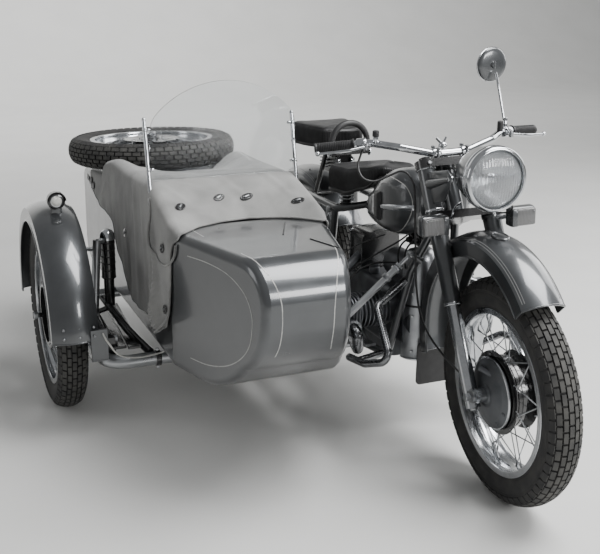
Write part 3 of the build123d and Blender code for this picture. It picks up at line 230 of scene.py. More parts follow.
@dataclass(frozen=True)
class StoveEnamel(Finish):
    """Sprayed and baked enamel: a deep even colour under a hard gloss, with dust and a faint peel.

    Attributes:
        colour: Main sRGB colour.
        dusty: Colour of the dust that dulls it.
        metal: Share of metal flake.
        rough: Roughness of the colour coat.
        coat: Weight of the gloss.
    """

    colour: str = "434547"
    dusty: str = "57595b"
    metal: float = 0.7
    rough: float = 0.3
    coat: float = 1.0

    def make(self) -> None:
        """Build the enamel: dust in 90 mm patches, 0.9 mm flake and 2.2 mm peel."""
        tree, shader, place = self.start()
        dust = add(tree, "TexNoise", Vector=place, Scale=1.0 / mm(90.0), Detail=6.0)
        flake = add(tree, "TexNoise", Vector=place, Scale=1.0 / mm(0.9), Detail=1.0)
        peel = add(tree, "TexNoise", Vector=place, Scale=1.0 / mm(2.2), Detail=1.0)
        share = add(tree, "MapRange", Value=dust, To_Min=-0.25, To_Max=0.75)
        mixed = add(tree, "Mix", {"data_type": "RGBA"}, i0=share, i6=linear(self.colour), i7=linear(self.dusty))
        feed(tree, shader, Base_Color=mixed.outputs[2],
             Roughness=add(tree, "MapRange", Value=dust, To_Min=self.rough - 0.08, To_Max=self.rough + 0.12),
             Normal=add(tree, "Bump", Strength=0.25, Distance=mm(0.02), Height=flake),
             Coat_Normal=add(tree, "Bump", Strength=0.5, Distance=mm(0.012), Height=peel),
             Metallic=self.metal, Coat_Weight=self.coat, Coat_Roughness=0.09)


@dataclass(frozen=True)
class ChromePlate(Finish):
    """Bright nickel-chrome plate on steel: mirror gloss with fine scratches and a little haze."""

    colour: str = "c9cbce"
    rough: float = 0.07

    def make(self) -> None:
        """Build the plate: haze in 22 mm patches, scratches about 1 mm apart drawn out along Y."""
        tree, shader, place = self.start()
        haze = add(tree, "TexNoise", Vector=place, Scale=1.0 / mm(22.0), Detail=5.0)
        stretch = add(tree, "Mapping", Vector=place, Scale=(900.0, 60.0, 900.0))
        scratch = add(tree, "TexNoise", Vector=stretch, Scale=1.0, Detail=2.0)
        feed(tree, shader,
             Roughness=add(tree, "MapRange", Value=haze, To_Min=self.rough * 0.5, To_Max=self.rough * 2.4),
             Normal=add(tree, "Bump", Strength=0.12, Distance=mm(0.01), Height=scratch),
             Base_Color=add(tree, "ValToRGB", {"stops": [(0.3, self.colour), (0.85, "a9abad")]}, Fac=haze),
             Metallic=1.0)


@dataclass(frozen=True)
class SandCastAlloy(Finish):
    """Sand-cast aluminium: pale dull metal with a grainy skin, oil-dark in random patches."""

    # The default greys serve the engine's castings and are set lower as painted shade.
    colour: str = "84868a"
    dark: str = "66686a"
    rough: float = 0.44
    grit_mm: float = 1.1

    def make(self) -> None:
        """Build the casting skin, with stains in 70 mm patches."""
        tree, shader, place = self.start()
        stain = add(tree, "TexNoise", Vector=place, Scale=1.0 / mm(70.0), Detail=8.0)
        grit = add(tree, "TexNoise", Vector=place, Scale=1.0 / mm(self.grit_mm), Detail=2.0)
        feed(tree, shader,
             Base_Color=add(tree, "ValToRGB", {"stops": [(0.3, self.dark), (0.6, self.colour)]}, Fac=stain),
             Roughness=add(tree, "MapRange", Value=stain, To_Min=self.rough + 0.14, To_Max=self.rough - 0.08),
             Normal=add(tree, "Bump", Strength=0.5, Distance=mm(0.12), Height=grit), Metallic=0.9)


@dataclass(frozen=True)
class BrushedSteel(Finish):
    """Zinc-plated or buffed steel: a grey sheen with soft streaks."""

    colour: str = "a3a5a7"
    rough: float = 0.3

    def make(self) -> None:
        """Build the steel: streaks about 1.4 mm apart across Z, grime in 35 mm patches."""
        tree, shader, place = self.start()
        stretch = add(tree, "Mapping", Vector=place, Scale=(40.0, 40.0, 700.0))
        streak = add(tree, "TexNoise", Vector=stretch, Scale=1.0, Detail=3.0)
        grime = add(tree, "TexNoise", Vector=place, Scale=1.0 / mm(35.0), Detail=5.0)
        feed(tree, shader,
             Base_Color=add(tree, "ValToRGB", {"stops": [(0.25, "6d6e70"), (0.6, self.colour)]}, Fac=grime),
             Roughness=add(tree, "MapRange", Value=streak, To_Min=self.rough - 0.1, To_Max=self.rough + 0.16),
             Normal=add(tree, "Bump", Strength=0.3, Distance=mm(0.02), Height=streak), Metallic=1.0)


@dataclass(frozen=True)
class TyreRubber(Finish):
    """Vulcanised tyre rubber: matt black with road dust; a greyer copy on the tread's tops is partly dust and partly a
    painted highlight.
    """

    colour: str = "1c1c1d"
    dust: str = "3a3937"

    def make(self) -> None:
        """Build the rubber: dust in 40 mm patches over a 1.6 mm grain."""
        tree, shader, place = self.start()
        patch = add(tree, "TexNoise", Vector=place, Scale=1.0 / mm(40.0), Detail=6.0)
        fine = add(tree, "TexNoise", Vector=place, Scale=1.0 / mm(1.6), Detail=2.0)
        feed(tree, shader,
             Base_Color=add(tree, "ValToRGB", {"stops": [(0.35, self.colour), (0.8, self.dust)]}, Fac=patch),
             Roughness=add(tree, "MapRange", Value=patch, To_Min=0.6, To_Max=0.85),
             Normal=add(tree, "Bump", Strength=0.4, Distance=mm(0.15), Height=fine), Specular_IOR_Level=0.4)


@dataclass(frozen=True)
class MouldedRubber(Finish):
    """Moulded black rubber of saddles, grips and pads: soft sheen where hands and coats polish it."""

    colour: str = "151516"
    worn: str = "2b2b2c"
    rough: float = 0.42

    def make(self) -> None:
        """Build the rubber: wear in 30 mm patches over 1.3 mm pebbles."""
        tree, shader, place = self.start()
        wear = add(tree, "TexNoise", Vector=place, Scale=1.0 / mm(30.0), Detail=5.0)
        pebble = add(tree, "TexVoronoi", Vector=place, Scale=1.0 / mm(1.3))
        feed(tree, shader,
             Base_Color=add(tree, "ValToRGB", {"stops": [(0.35, self.colour), (0.8, self.worn)]}, Fac=wear),
             Roughness=add(tree, "MapRange", Value=wear, To_Min=self.rough - 0.1, To_Max=self.rough + 0.16),
             Normal=add(tree, "Bump", Strength=0.4, Distance=mm(0.08), Height=pebble))


@dataclass(frozen=True)
class CottonDuck(Finish):
    """Woven proofed cotton canvas: light grey, plain weave, sun-bleached and damp patches.

    Attributes:
        colour: Main sRGB colour.
        shade: Colour of the damp patches, and of the gaps between the threads, where it is painted shade.
        thread_mm: Spacing of the threads, drawn at several times the real one so that it shows.
    """

    colour: str = "888886"
    shade: str = "696968"
    thread_mm: float = 2.4

    def make(self) -> None:
        """Build the cloth: two crossed waves for the weave, which also darken the colour between the threads as painted
        shade, 130 mm patches and 7 mm slubs.
        """
        tree, shader, place = self.start()
        cloth = add(tree, "UVMap", {"uv_map": "cloth"})
        waves = [add(tree, "TexWave", {"wave_type": "BANDS", "bands_direction": way, "wave_profile": "SIN"},
                     Vector=cloth, Scale=0.314 / mm(self.thread_mm), Distortion=0.6, Detail=1.0, Detail_Scale=2.0)
                 for way in ("X", "Y")]
        weave = add(tree, "Math", {"operation": "MULTIPLY"}, i0=waves[0], i1=waves[1])
        patch = add(tree, "TexNoise", Vector=place, Scale=1.0 / mm(130.0), Detail=6.0)
        slub = add(tree, "TexNoise", Vector=place, Scale=1.0 / mm(7.0), Detail=3.0)
        # The weave darkens the colour between the threads as painted shade; the patches are damp and bleached cloth.
        weave_shade_and_patches = add(tree, "Math", {"operation": "MULTIPLY_ADD"}, i0=weave, i1=0.22, i2=patch)
        stops = [(0.32, self.shade), (0.72, self.colour), (0.95, "959592")]
        under = add(tree, "Bump", Strength=0.35, Distance=mm(0.5), Height=slub)
        feed(tree, shader, Base_Color=add(tree, "ValToRGB", {"stops": stops}, Fac=weave_shade_and_patches),
             Roughness=add(tree, "MapRange", Value=slub, To_Min=0.82, To_Max=0.96),
             Normal=add(tree, "Bump", Strength=0.55, Distance=mm(0.5), Height=weave, Normal=under),
             Sheen_Weight=0.25, Sheen_Roughness=0.5)


@dataclass(frozen=True)
class ClearSheet(Finish):
    """Cast acrylic sheet: clear with an edge that catches the light and faint wiping marks."""

    def make(self) -> None:
        """Build the sheet, with smears in 60 mm patches."""
        tree, shader, place = self.start()
        smear = add(tree, "TexNoise", Vector=place, Scale=1.0 / mm(60.0), Detail=5.0)
        feed(tree, shader, Roughness=add(tree, "MapRange", Value=smear, To_Min=0.01, To_Max=0.07),
             Base_Color=linear("f4f6f7"), Transmission_Weight=1.0, IOR=1.49)


@dataclass(frozen=True)
class LampGlass(Finish):
    """Pressed lamp glass: clear or tinted, with upright flutes that break up the light.

    Attributes:
        colour: The glass's tint.
        flute_mm: Spacing of the flutes.
        clear: Share of light that passes.
    """

    colour: str = "eef0f2"
    flute_mm: float = 9.0
    clear: float = 0.9

    def make(self) -> None:
        """Build the glass."""
        tree, shader, place = self.start()
        wave = add(tree, "TexWave", {"wave_type": "BANDS", "bands_direction": "X", "wave_profile": "SIN"},
                   Vector=place, Scale=0.314 / mm(self.flute_mm), Distortion=0.0)
        feed(tree, shader, Normal=add(tree, "Bump", Strength=0.5, Distance=mm(1.2), Height=wave),
             Base_Color=linear(self.colour), Roughness=0.06, Transmission_Weight=self.clear, IOR=1.5)


@dataclass(frozen=True)
class Pinstripe(Finish):
    """Hand-drawn lining enamel: an off-white line that is a little uneven in strength; on the fenders it is a painted
    highlight instead.
    """

    colour: str = "d8d8d4"

    def make(self) -> None:
        """Build the lining, its strength changing every 14 mm."""
        tree, shader, place = self.start()
        hand = add(tree, "TexNoise", Vector=place, Scale=1.0 / mm(14.0), Detail=4.0)
        feed(tree, shader,
             Base_Color=add(tree, "ValToRGB", {"stops": [(0.25, "7c7c7b"), (0.55, self.colour)]}, Fac=hand),
             Roughness=0.3, Coat_Weight=0.5)


@dataclass(frozen=True)
class StudioPaper(Finish):
    """Pale seamless floor with a faint even mottle."""

    colour: str = "cfcfcd"

    def make(self) -> None:
        """Build the floor's surface, mottled every 400 mm."""
        tree, shader, place = self.start()
        mottle = add(tree, "TexNoise", Vector=place, Scale=1.0 / mm(400.0), Detail=4.0)
        feed(tree, shader,
             Base_Color=add(tree, "ValToRGB", {"stops": [(0.2, "c8c8c6"), (0.8, self.colour)]}, Fac=mottle),
             Roughness=0.85)


class Shade(Enum):
    """The finishes of the outfit, by what they are put on, with what each gives the eye."""

    # Flake under clear gloss: a mid grey that glows where it faces the light.
    BODY = StoveEnamel("baked metallic grey enamel")
    # No flake: black with sharp, narrow highlights.
    FRAME = StoveEnamel("baked black enamel", "141415", "2a2a2b", 0.0, 0.22, 0.7)
    # A little flake: darker and calmer than the body.
    LAMP_SHELL = StoveEnamel("baked dark grey enamel", "3a3c3e", "505254", 0.4, 0.26, 0.9)
    # Coarse aluminium paint: bright tubes with a broad, soft sheen.
    CHASSIS = StoveEnamel("silver tube paint", "a0a2a4", "aeb0b2", 0.85, 0.28, 0.5)
    # A near mirror that picks up floor and lights.
    CHROME = ChromePlate("bright chrome plate")
    # Rolled steel under the plate: hazier and darker.
    RIM = ChromePlate("chromed rolled rim", "bfc1c4", 0.12)
    # Vapour-laid silver behind glass: bright and slightly diffuse.
    MIRROR = ChromePlate("silvered lamp reflector", "e8e9ea", 0.24)
    # Pale, grainy and dull, with its grey set lower as painted shade for the shadow that the engine sits in.
    CASTING = SandCastAlloy("sand-cast aluminium")
    # Buffed casting: lighter with a satin shine.
    POLISHED = SandCastAlloy("polished cast aluminium", "a2a4a7", "8e9093", 0.28, 0.8)
    # Shot-blasted: an even dark grey.
    DRUM = SandCastAlloy("shot-blasted brake casting", "66686b", "55575a", 0.44, 0.9)
    # Small parts with a streaky grey glint.
    STEEL = BrushedSteel("zinc-plated steel")
    # Chrome dulled by heat: darker and smoother.
    PIPE = BrushedSteel("heat-dulled chromed pipe", "7d7e80", 0.22)
    # Black sidewalls.
    TYRE = TyreRubber("vulcanised tyre rubber")
    # Grey on the block tops, partly road dust and partly a painted highlight on the faces that look out, so that the
    # pattern reads.
    TREAD_DUST_AND_LIGHT = TyreRubber("road-dusted and painted-lit tread rubber", "323231", "504f4c")
    # Soft black with polished spots.
    RUBBER = MouldedRubber("moulded black rubber")
    # Pale sheath that stands out from the tubes.
    LEAD = MouldedRubber("pale lead sheath", "a9a9a4", "c4c4c0")
    # Matt light grey cloth.
    CANVAS = CottonDuck("proofed cotton duck")
    # Seen mostly by its edge and reflections.
    CLEAR = ClearSheet("cast acrylic sheet")
    # Flutes break up the reflector behind.
    GLASS = LampGlass("pressed fluted glass")
    # Milky, so that no bulb shows.
    WHITE_LENS = LampGlass("pressed opal lens", "d9d9d4", 4.0, 0.35)
    # Mid grey, as tinted plastic looks without colour.
    TINTED_LENS = LampGlass("pressed tinted lens", "8c8c8c", 5.0, 0.55)
    # Nearly black when unlit.
    DARK_LENS = LampGlass("pressed smoked lens", "4a4a4a", 4.0, 0.3)
    # Light line on the tub and the tank.
    LINE = Pinstripe("off-white lining enamel", "a8a8a5")
    # Weaker light lines on the fenders: a painted highlight standing for the glint of a raised bead near the valance.
    BEAD_HIGHLIGHT = Pinstripe("pale grey painted bead highlight", "7b7c7c")
    # Pale ground without a seam.
    FLOOR = StudioPaper("seamless studio paper")

    def material(self) -> bpy.types.Material:
        """Give the finish's material."""
        return self.value.material()


# Mesh tools


@dataclass
class Piece:
    """One new mesh in the making, with the finishes of its faces.

    Attributes:
        name: The object's name.
        body: The moving body that it rides on.
        shades: Its finishes, the first for faces that name none.
        slot: The record's material slot; not used.
        turn: The move from where it is built to where it is at rest.
        mesh: Its faces so far.
    """

    name: str
    body: str
    shades: Sequence[Shade]
    slot: str = ""
    turn: Matrix = field(default_factory=Matrix)
    mesh: Mesh = field(default_factory=bmesh.new)

    def take(self, part: Mesh, shade: Shade | None = None, move: Matrix | None = None) -> None:
        """Join a part into the piece and free it.

        Args:
            part: The part.
            shade: The finish of its faces, the piece's first where none is named.
            move: Its move into place.
        """
        if move is not None:
            bmesh.ops.transform(part, matrix=move, verts=part.verts)
        number = 0 if shade is None else list(self.shades).index(shade)
        for face in part.faces:
            face.material_index = number
        scratch = bpy.data.meshes.new("part")
        part.to_mesh(scratch)
        part.free()
        self.mesh.from_mesh(scratch)
        bpy.data.meshes.remove(scratch)

    def done(self, replaces: Sequence[str] = (), smooth_deg: float = 40.0, weld: float = 0.00001) -> bpy.types.Object:
        """Turn the piece into an object that rides on its body.

        Args:
            replaces: CAD nodes that it stands for.
            smooth_deg: Angle above which an edge stays sharp.
            weld: Distance within which doubles are merged, in metres.

        Returns:
            The object.
        """
        bmesh.ops.remove_doubles(self.mesh, verts=self.mesh.verts, dist=weld)
        bmesh.ops.recalc_face_normals(self.mesh, faces=self.mesh.faces)
        bmesh.ops.transform(self.mesh, matrix=self.turn, verts=self.mesh.verts)
        limit = math.radians(smooth_deg)
        for face in self.mesh.faces:
            face.smooth = True
        for edge in self.mesh.edges:
            edge.smooth = len(edge.link_faces) != 2 or edge.calc_face_angle(0.0) < limit
        data = bpy.data.meshes.new(self.name)
        self.mesh.to_mesh(data)
        self.mesh.free()
        obj = bpy.data.objects.new(self.name, data)
        bpy.context.scene.collection.objects.link(obj)
        for shade in self.shades:
            data.materials.append(shade.material())
        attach(obj, self.body)
        if replaces:
            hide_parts(*replaces)
        LOG.info("%s: %d faces on %s", self.name, len(data.polygons), self.body)
        return obj


def lathe(profile: Outline, steps: int = 48, closed: bool = False, sweep: float = 2 * math.pi) -> Mesh:
    """Turn an outline of (radius, along) points in millimetres about the X axis.

    Args:
        profile: The outline, with x along the axis and the radius in Z.
        steps: Steps of the turn.
        closed: True joins the outline's last point to its first.
        sweep: The turn's angle, a full turn by default.

    Returns:
        The turned surface.
    """
    mesh = bmesh.new()
    verts = [mesh.verts.new((mm(x), 0.0, mm(r))) for r, x in profile]
    pairs = list(zip(verts, verts[1:])) + ([(verts[-1], verts[0])] if closed else [])
    edges = [mesh.edges.new(pair) for pair in pairs]
    full = abs(sweep - 2 * math.pi) < 1e-6
    bmesh.ops.spin(mesh, geom=verts + edges, cent=(0, 0, 0), axis=(1, 0, 0), dvec=(0, 0, 0), angle=sweep, steps=steps,
                   use_merge=full, use_duplicate=False)
    bmesh.ops.remove_doubles(mesh, verts=mesh.verts, dist=SAME)
    bmesh.ops.recalc_face_normals(mesh, faces=mesh.faces)
    return mesh


def verts_of(parts: Iterable[bmesh.types.BMVert | bmesh.types.BMEdge | bmesh.types.BMFace]) -> list:
    """Pick the vertices from an operator's result."""
    return [part for part in parts if isinstance(part, bmesh.types.BMVert)]


def aim(start: Vector, end: Vector) -> Matrix:
    """Give the move that lays the Z axis, from its origin, along start to end."""
    span = end - start
    return Matrix.Translation(start) @ span.to_track_quat("Z", "Y").to_matrix().to_4x4()


def onto(start: Vector, along: Vector) -> Matrix:
    """Give the move that lays a turned shape's axis, from its origin, along a direction."""
    return aim(start, start + along) @ X_TO_UP


def rod(start: Vector, end: Vector, dia: float, end_dia: float | None = None, sides: int = 16,
        round_mm: float = 0.0) -> Mesh:
    """Make a round rod between two points.

    Args:
        start: First point in metres.
        end: Last point in metres.
        dia: Diameter in millimetres.
        end_dia: Diameter at the last point.
        sides: Sides of the rod.
        round_mm: Bevel of its end edges.

    Returns:
        The rod.
    """
    mesh = bmesh.new()
    length = (end - start).length
    last = dia if end_dia is None else end_dia
    bmesh.ops.create_cone(mesh, cap_ends=True, segments=sides, radius1=mm(dia) / 2, radius2=mm(last) / 2, depth=length)
    if round_mm:
        rims = [e for e in mesh.edges if abs(e.verts[0].co.z - e.verts[1].co.z) < 1e-7 and len(e.link_faces) == 2]
        soften(mesh, rims, round_mm, 2)
    bmesh.ops.transform(mesh, matrix=aim(start, end) @ Matrix.Translation((0, 0, length / 2)), verts=mesh.verts)
    return mesh


def soften(mesh: Mesh, edges: Sequence[bmesh.types.BMEdge], width: float, segments: int = 2) -> None:
    """Bevel edges.

    Args:
        mesh: Their mesh.
        edges: The edges.
        width: Width of the bevel in millimetres.
        segments: Its steps.
    """
    bmesh.ops.bevel(mesh, geom=list(edges), offset=mm(width), offset_type="OFFSET", segments=segments, profile=0.5,
                    affect="EDGES", material=-1, clamp_overlap=True)


def brick(size: Spot, round_mm: float = 2.0, segments: int = 2) -> Mesh:
    """Make a box with rounded edges at the origin.

    Args:
        size: Its sizes in millimetres.
        round_mm: Radius of its edges.
        segments: Steps of the rounding.

    Returns:
        The box.
    """
    mesh = bmesh.new()
    bmesh.ops.create_cube(mesh, size=1.0)
    bmesh.ops.scale(mesh, vec=tuple(mm(s) for s in size), verts=mesh.verts)
    if round_mm:
        soften(mesh, mesh.edges[:], round_mm, segments)
    return mesh


def ball(radius: float, centre: Vector, segments: int = 16) -> Mesh:
    """Make a ball at a point.

    Args:
        radius: Its radius in millimetres.
        centre: Its middle in metres.
        segments: Its steps round the upright axis, with half as many from pole to pole.

    Returns:
        The ball.
    """
    mesh = bmesh.new()
    bmesh.ops.create_uvsphere(mesh, u_segments=segments, v_segments=segments // 2, radius=mm(radius))
    bmesh.ops.translate(mesh, vec=centre, verts=mesh.verts)
    return mesh


def bolt(start: Vector, along: Vector, across: float = 13.0, high: float = 8.0) -> Mesh:
    """Make a hexagon bolt head with a chamfered top.

    Args:
        start: Foot of the head in metres.
        along: Direction of its axis.
        across: Width in millimetres.
        high: Height in millimetres.

    Returns:
        The head.
    """
    mesh = bmesh.new()
    bmesh.ops.create_cone(mesh, cap_ends=True, segments=6, radius1=mm(across) / 2, radius2=mm(across) / 2,
                          depth=mm(high))
    top = [e for e in mesh.edges if all(v.co.z > 0 for v in e.verts)]
    soften(mesh, top, across * 0.08, 1)
    bmesh.ops.transform(mesh, matrix=aim(start, start + along) @ Matrix.Translation((0, 0, mm(high) / 2)),
                        verts=mesh.verts)
    return mesh


def bent(points: Sequence[Vector], dia: float, sides: int = 12, radii: Sequence[float] | None = None) -> Mesh:
    """Make a bent round bar on a smooth curve by points.

    Args:
        points: Its route in metres.
        dia: Diameter in millimetres.
        sides: Sides of the section.
        radii: Share of the diameter at each point.

    Returns:
        The bar with closed ends.
    """
    curve = bpy.data.curves.new("route", "CURVE")
    curve.dimensions = "3D"
    curve.bevel_depth = mm(dia) / 2
    curve.bevel_resolution = max(1, sides // 4 - 1)
    curve.use_fill_caps = True
    curve.resolution_u = 8
    spline = curve.splines.new("NURBS")
    spline.points.add(len(points) - 1)
    for number, (point, place) in enumerate(zip(spline.points, points)):
        point.co = (*place, 1.0)
        point.radius = radii[number] if radii else 1.0
    spline.order_u = 3
    spline.use_endpoint_u = True
    holder = bpy.data.objects.new("route", curve)
    data = bpy.data.meshes.new_from_object(holder)
    mesh = bmesh.new()
    mesh.from_mesh(data)
    bpy.data.objects.remove(holder)
    bpy.data.curves.remove(curve)
    bpy.data.meshes.remove(data)
    bmesh.ops.remove_doubles(mesh, verts=mesh.verts, dist=SAME)
    return mesh


def loop_of(mesh: Mesh, points: Sequence[Vector], closed: bool = True) -> list[bmesh.types.BMEdge]:
    """Lay a wire through points.

    Args:
        mesh: The mesh that takes it.
        points: The points in metres.
        closed: True joins the last point to the first.

    Returns:
        Its edges, in order.
    """
    verts = [mesh.verts.new(p) for p in points]
    pairs = list(zip(verts, verts[1:])) + ([(verts[-1], verts[0])] if closed else [])
    return [mesh.edges.new(pair) for pair in pairs]


def skin(rings: Sequence[Sequence[Vector]], closed: bool = True) -> Mesh:
    """Bridge rings of points, one after the other, into one surface.

    Args:
        rings: Rings with the same number of points.
        closed: True where each ring is closed.

    Returns:
        The surface, open at its first and last ring.
    """
    mesh = bmesh.new()
    before = loop_of(mesh, rings[0], closed)
    for ring in rings[1:]:
        after = bmesh.ops.extrude_edge_only(mesh, edges=before)["geom"]
        fresh = verts_of(after)
        known = set(fresh)
        for vert, place in zip(fresh, ring):
            vert.co = place
        before = [e for e in after if isinstance(e, bmesh.types.BMEdge) and known.issuperset(e.verts)]
    return mesh


def dress(nodes: Iterable[str], shade: Shade) -> None:
    """Put a finish on CAD nodes that keep their shape.

    Args:
        nodes: Names of the nodes.
        shade: The finish.
    """
    for name in nodes:
        materials = bpy.data.objects[name].data.materials
        materials.clear()
        materials.append(shade.material())


@dataclass
class Liner:
    """Draws a painted line on the surface of a CAD node.

    Attributes:
        node: The CAD node that carries the line.
        width: Width of the line in millimetres.
        lift: Height above the surface in millimetres.
    """

    node: str
    width: float = 3.4
    lift: float = 0.5

    def draw(self, piece: Piece, route: Sequence[Spot], toward: Vector) -> None:
        """Cast a route onto the node and lay the line where it lands.

        Args:
            piece: The piece that takes the line.
            route: Points outside the node, in machine millimetres.
            toward: Direction of the cast.
        """
        tree = BVHTree.FromObject(bpy.data.objects[self.node], bpy.context.evaluated_depsgraph_get())
        hits = []
        for point in route:
            place, normal, _, _ = tree.ray_cast(at(*point), toward)
            if place is not None:
                hits.append((place, normal if normal.dot(toward) < 0 else -normal))
        if len(hits) < 3:
            return
        mesh = bmesh.new()
        pairs = []
        for number, (place, normal) in enumerate(hits):
            before = hits[number - 1][0] if number else place
            after = hits[number + 1][0] if number + 1 < len(hits) else place
            side = (after - before).cross(normal).normalized() * mm(self.width) / 2
            base = place + normal * mm(self.lift)
            pairs.append((mesh.verts.new(base - side), mesh.verts.new(base + side)))
        for (a, b), (c, d) in zip(pairs, pairs[1:]):
            bmesh.ops.contextual_create(mesh, geom=[a, b, d, c])
        piece.take(mesh, Shade.LINE)


def smooth_route(points: Sequence[Spot], steps: int) -> list[Spot]:
    """Round a short list of points into a smooth route through them.

    Args:
        points: The points.
        steps: New points for each run.

    Returns:
        The finer route.
    """
    vectors = [Vector(p) for p in points]
    padded = [vectors[0], *vectors, vectors[-1]]
    route = []
    for a, b, c, d in zip(padded, padded[1:], padded[2:], padded[3:]):
        for step in range(steps):
            t = step / steps
            bow, twist = (2 * a - 5 * b + 4 * c - d) * t * t, (3 * b - a - 3 * c + d) * t ** 3
            route.append(tuple(0.5 * (2 * b + (c - a) * t + bow + twist)))
    return [*route, tuple(vectors[-1])]


# Wheels


@dataclass
class Tyre:
    """Road tyre with five staggered rows of tread blocks and shoulder lugs.

    Attributes:
        radius: Outer radius in millimetres.
        groove: Depth of the grooves.
        pitches: Blocks around each row.
    """

    radius: float = WHEEL_R
    groove: float = 6.0
    pitches: int = 60

    SIDE = ((243.0, 36.5), (254.0, 37.2), (258.0, 40.2), (263.0, 42.5), (265.0, 42.3), (267.0, 43.6), (276.0, 46.6),
            (288.0, 48.9), (298.0, 49.7), (302.0, 49.75), (303.0, 49.1), (305.0, 49.1), (306.0, 49.7),
            (314.0, 48.9), (322.0, 46.8), (328.0, 43.8))
    # Middle of each row across the tread, its width, and its stagger as a share of the pitch.
    ROWS = ((-33.5, 14.5, 0.5), (-17.0, 14.0, 0.0), (0.0, 15.5, 0.5), (17.0, 14.0, 0.0), (33.5, 14.5, 0.5))
    EDGE_X = 46

    def crown(self, x: float) -> float:
        """Give the tread's radius at a distance from the middle."""
        bend = (42.0 ** 2 + 14.0 ** 2) / 28.0
        return self.radius - bend + math.sqrt(bend ** 2 - x * x)

    def carcass(self) -> Mesh:
        """Turn the tyre's body: beads, sidewalls with their ribs, and the groove floor.

        Returns:
            The closed body.
        """
        half = [*self.SIDE, *((self.crown(x) - self.groove, x) for x in (40.0, 30.0, 20.0, 10.0, 0.0))]
        return lathe(half + [(r, -x) for r, x in reversed(half[:-1])], 96, closed=True)

    def block(self, x: float, wide: float, length: float, shift: float) -> Mesh:
        """Make one tread block on the crown.

        Args:
            x: Middle of the block across the tread.
            wide: Its width.
            length: Its length round the tread.
            shift: Its place along the tread.

        Returns:
            The block, without a floor.
        """
        mesh = bmesh.new()
        bmesh.ops.create_cube(mesh, size=1.0)
        floor = [f for f in mesh.faces if f.normal.z < -0.9]
        bmesh.ops.delete(mesh, geom=floor, context="FACES")
        bmesh.ops.scale(mesh, vec=(wide, length, 1.0), verts=mesh.verts)
        top = [e for e in mesh.edges if all(v.co.z > 0 for v in e.verts)]
        bmesh.ops.bevel(mesh, geom=top, offset=1.1, segments=1, profile=0.5, affect="EDGES", material=-1,
                        offset_type="OFFSET", clamp_overlap=True)
        for vert in mesh.verts:
            across, along, high = vert.co.x + x, vert.co.y + shift, vert.co.z
            beyond = abs(across) - self.EDGE_X
            r = self.crown(across) if beyond < 0 else self.crown(self.EDGE_X) - beyond * 1.5
            r -= 0.0 if high > -0.2 else self.groove + 0.6
            angle = along / self.radius
            vert.co = Vector((mm(across), mm(r) * math.sin(angle), mm(r) * math.cos(angle)))
        return mesh

    def lug(self, side: int, length: float) -> Mesh:
        """Make one shoulder lug on the sidewall's top.

        Args:
            side: -1 or 1.
            length: Its length round the tyre.

        Returns:
            The lug.
        """
        mesh = brick((7.0, length, 23.0), 1.4, 1)
        tilt = Matrix.Rotation(math.radians(-side * 27.0), 4, "Y")
        place = Matrix.Translation(off(side * 45.4, 0, 321.0))
        bmesh.ops.transform(mesh, matrix=place @ tilt, verts=mesh.verts)
        return mesh

    def build(self, name: str, body: str, node: str, place: Matrix) -> bpy.types.Object:
        """Build the whole tyre.

        Args:
            name: The object's name.
            body: The body that it rides on.
            node: The CAD node that it replaces.
            place: Its move from the origin, axle along X.

        Returns:
            The tyre's object.
        """
        pitch = 2 * math.pi * self.radius / self.pitches
        segment = bmesh.new()
        holder = Piece("holder", body, [Shade.TYRE], mesh=segment)
        for x, wide, phase in self.ROWS:
            holder.take(self.block(x, wide, pitch - 4.6, phase * pitch))
        for side in (-1, 1):
            holder.take(self.lug(side, pitch - 8.0))
        bmesh.ops.spin(segment, geom=segment.verts[:] + segment.edges[:] + segment.faces[:], cent=(0, 0, 0),
                       axis=(1, 0, 0), dvec=(0, 0, 0), angle=2 * math.pi * (self.pitches - 1) / self.pitches,
                       steps=self.pitches - 1, use_duplicate=True)
        tyre = Piece(name, body, [Shade.TYRE, Shade.TREAD_DUST_AND_LIGHT], "tyre", place)
        tyre.take(segment)
        # Faces that look outward take the greyer tread rubber: partly dust, partly a painted highlight.
        for face in tyre.mesh.faces:
            middle = face.calc_center_median()
            face.material_index = int(face.normal.dot(Vector((0, middle.y, middle.z)).normalized()) > 0.8)
        tyre.take(self.carcass())
        return tyre.done([node], smooth_deg=35.0)


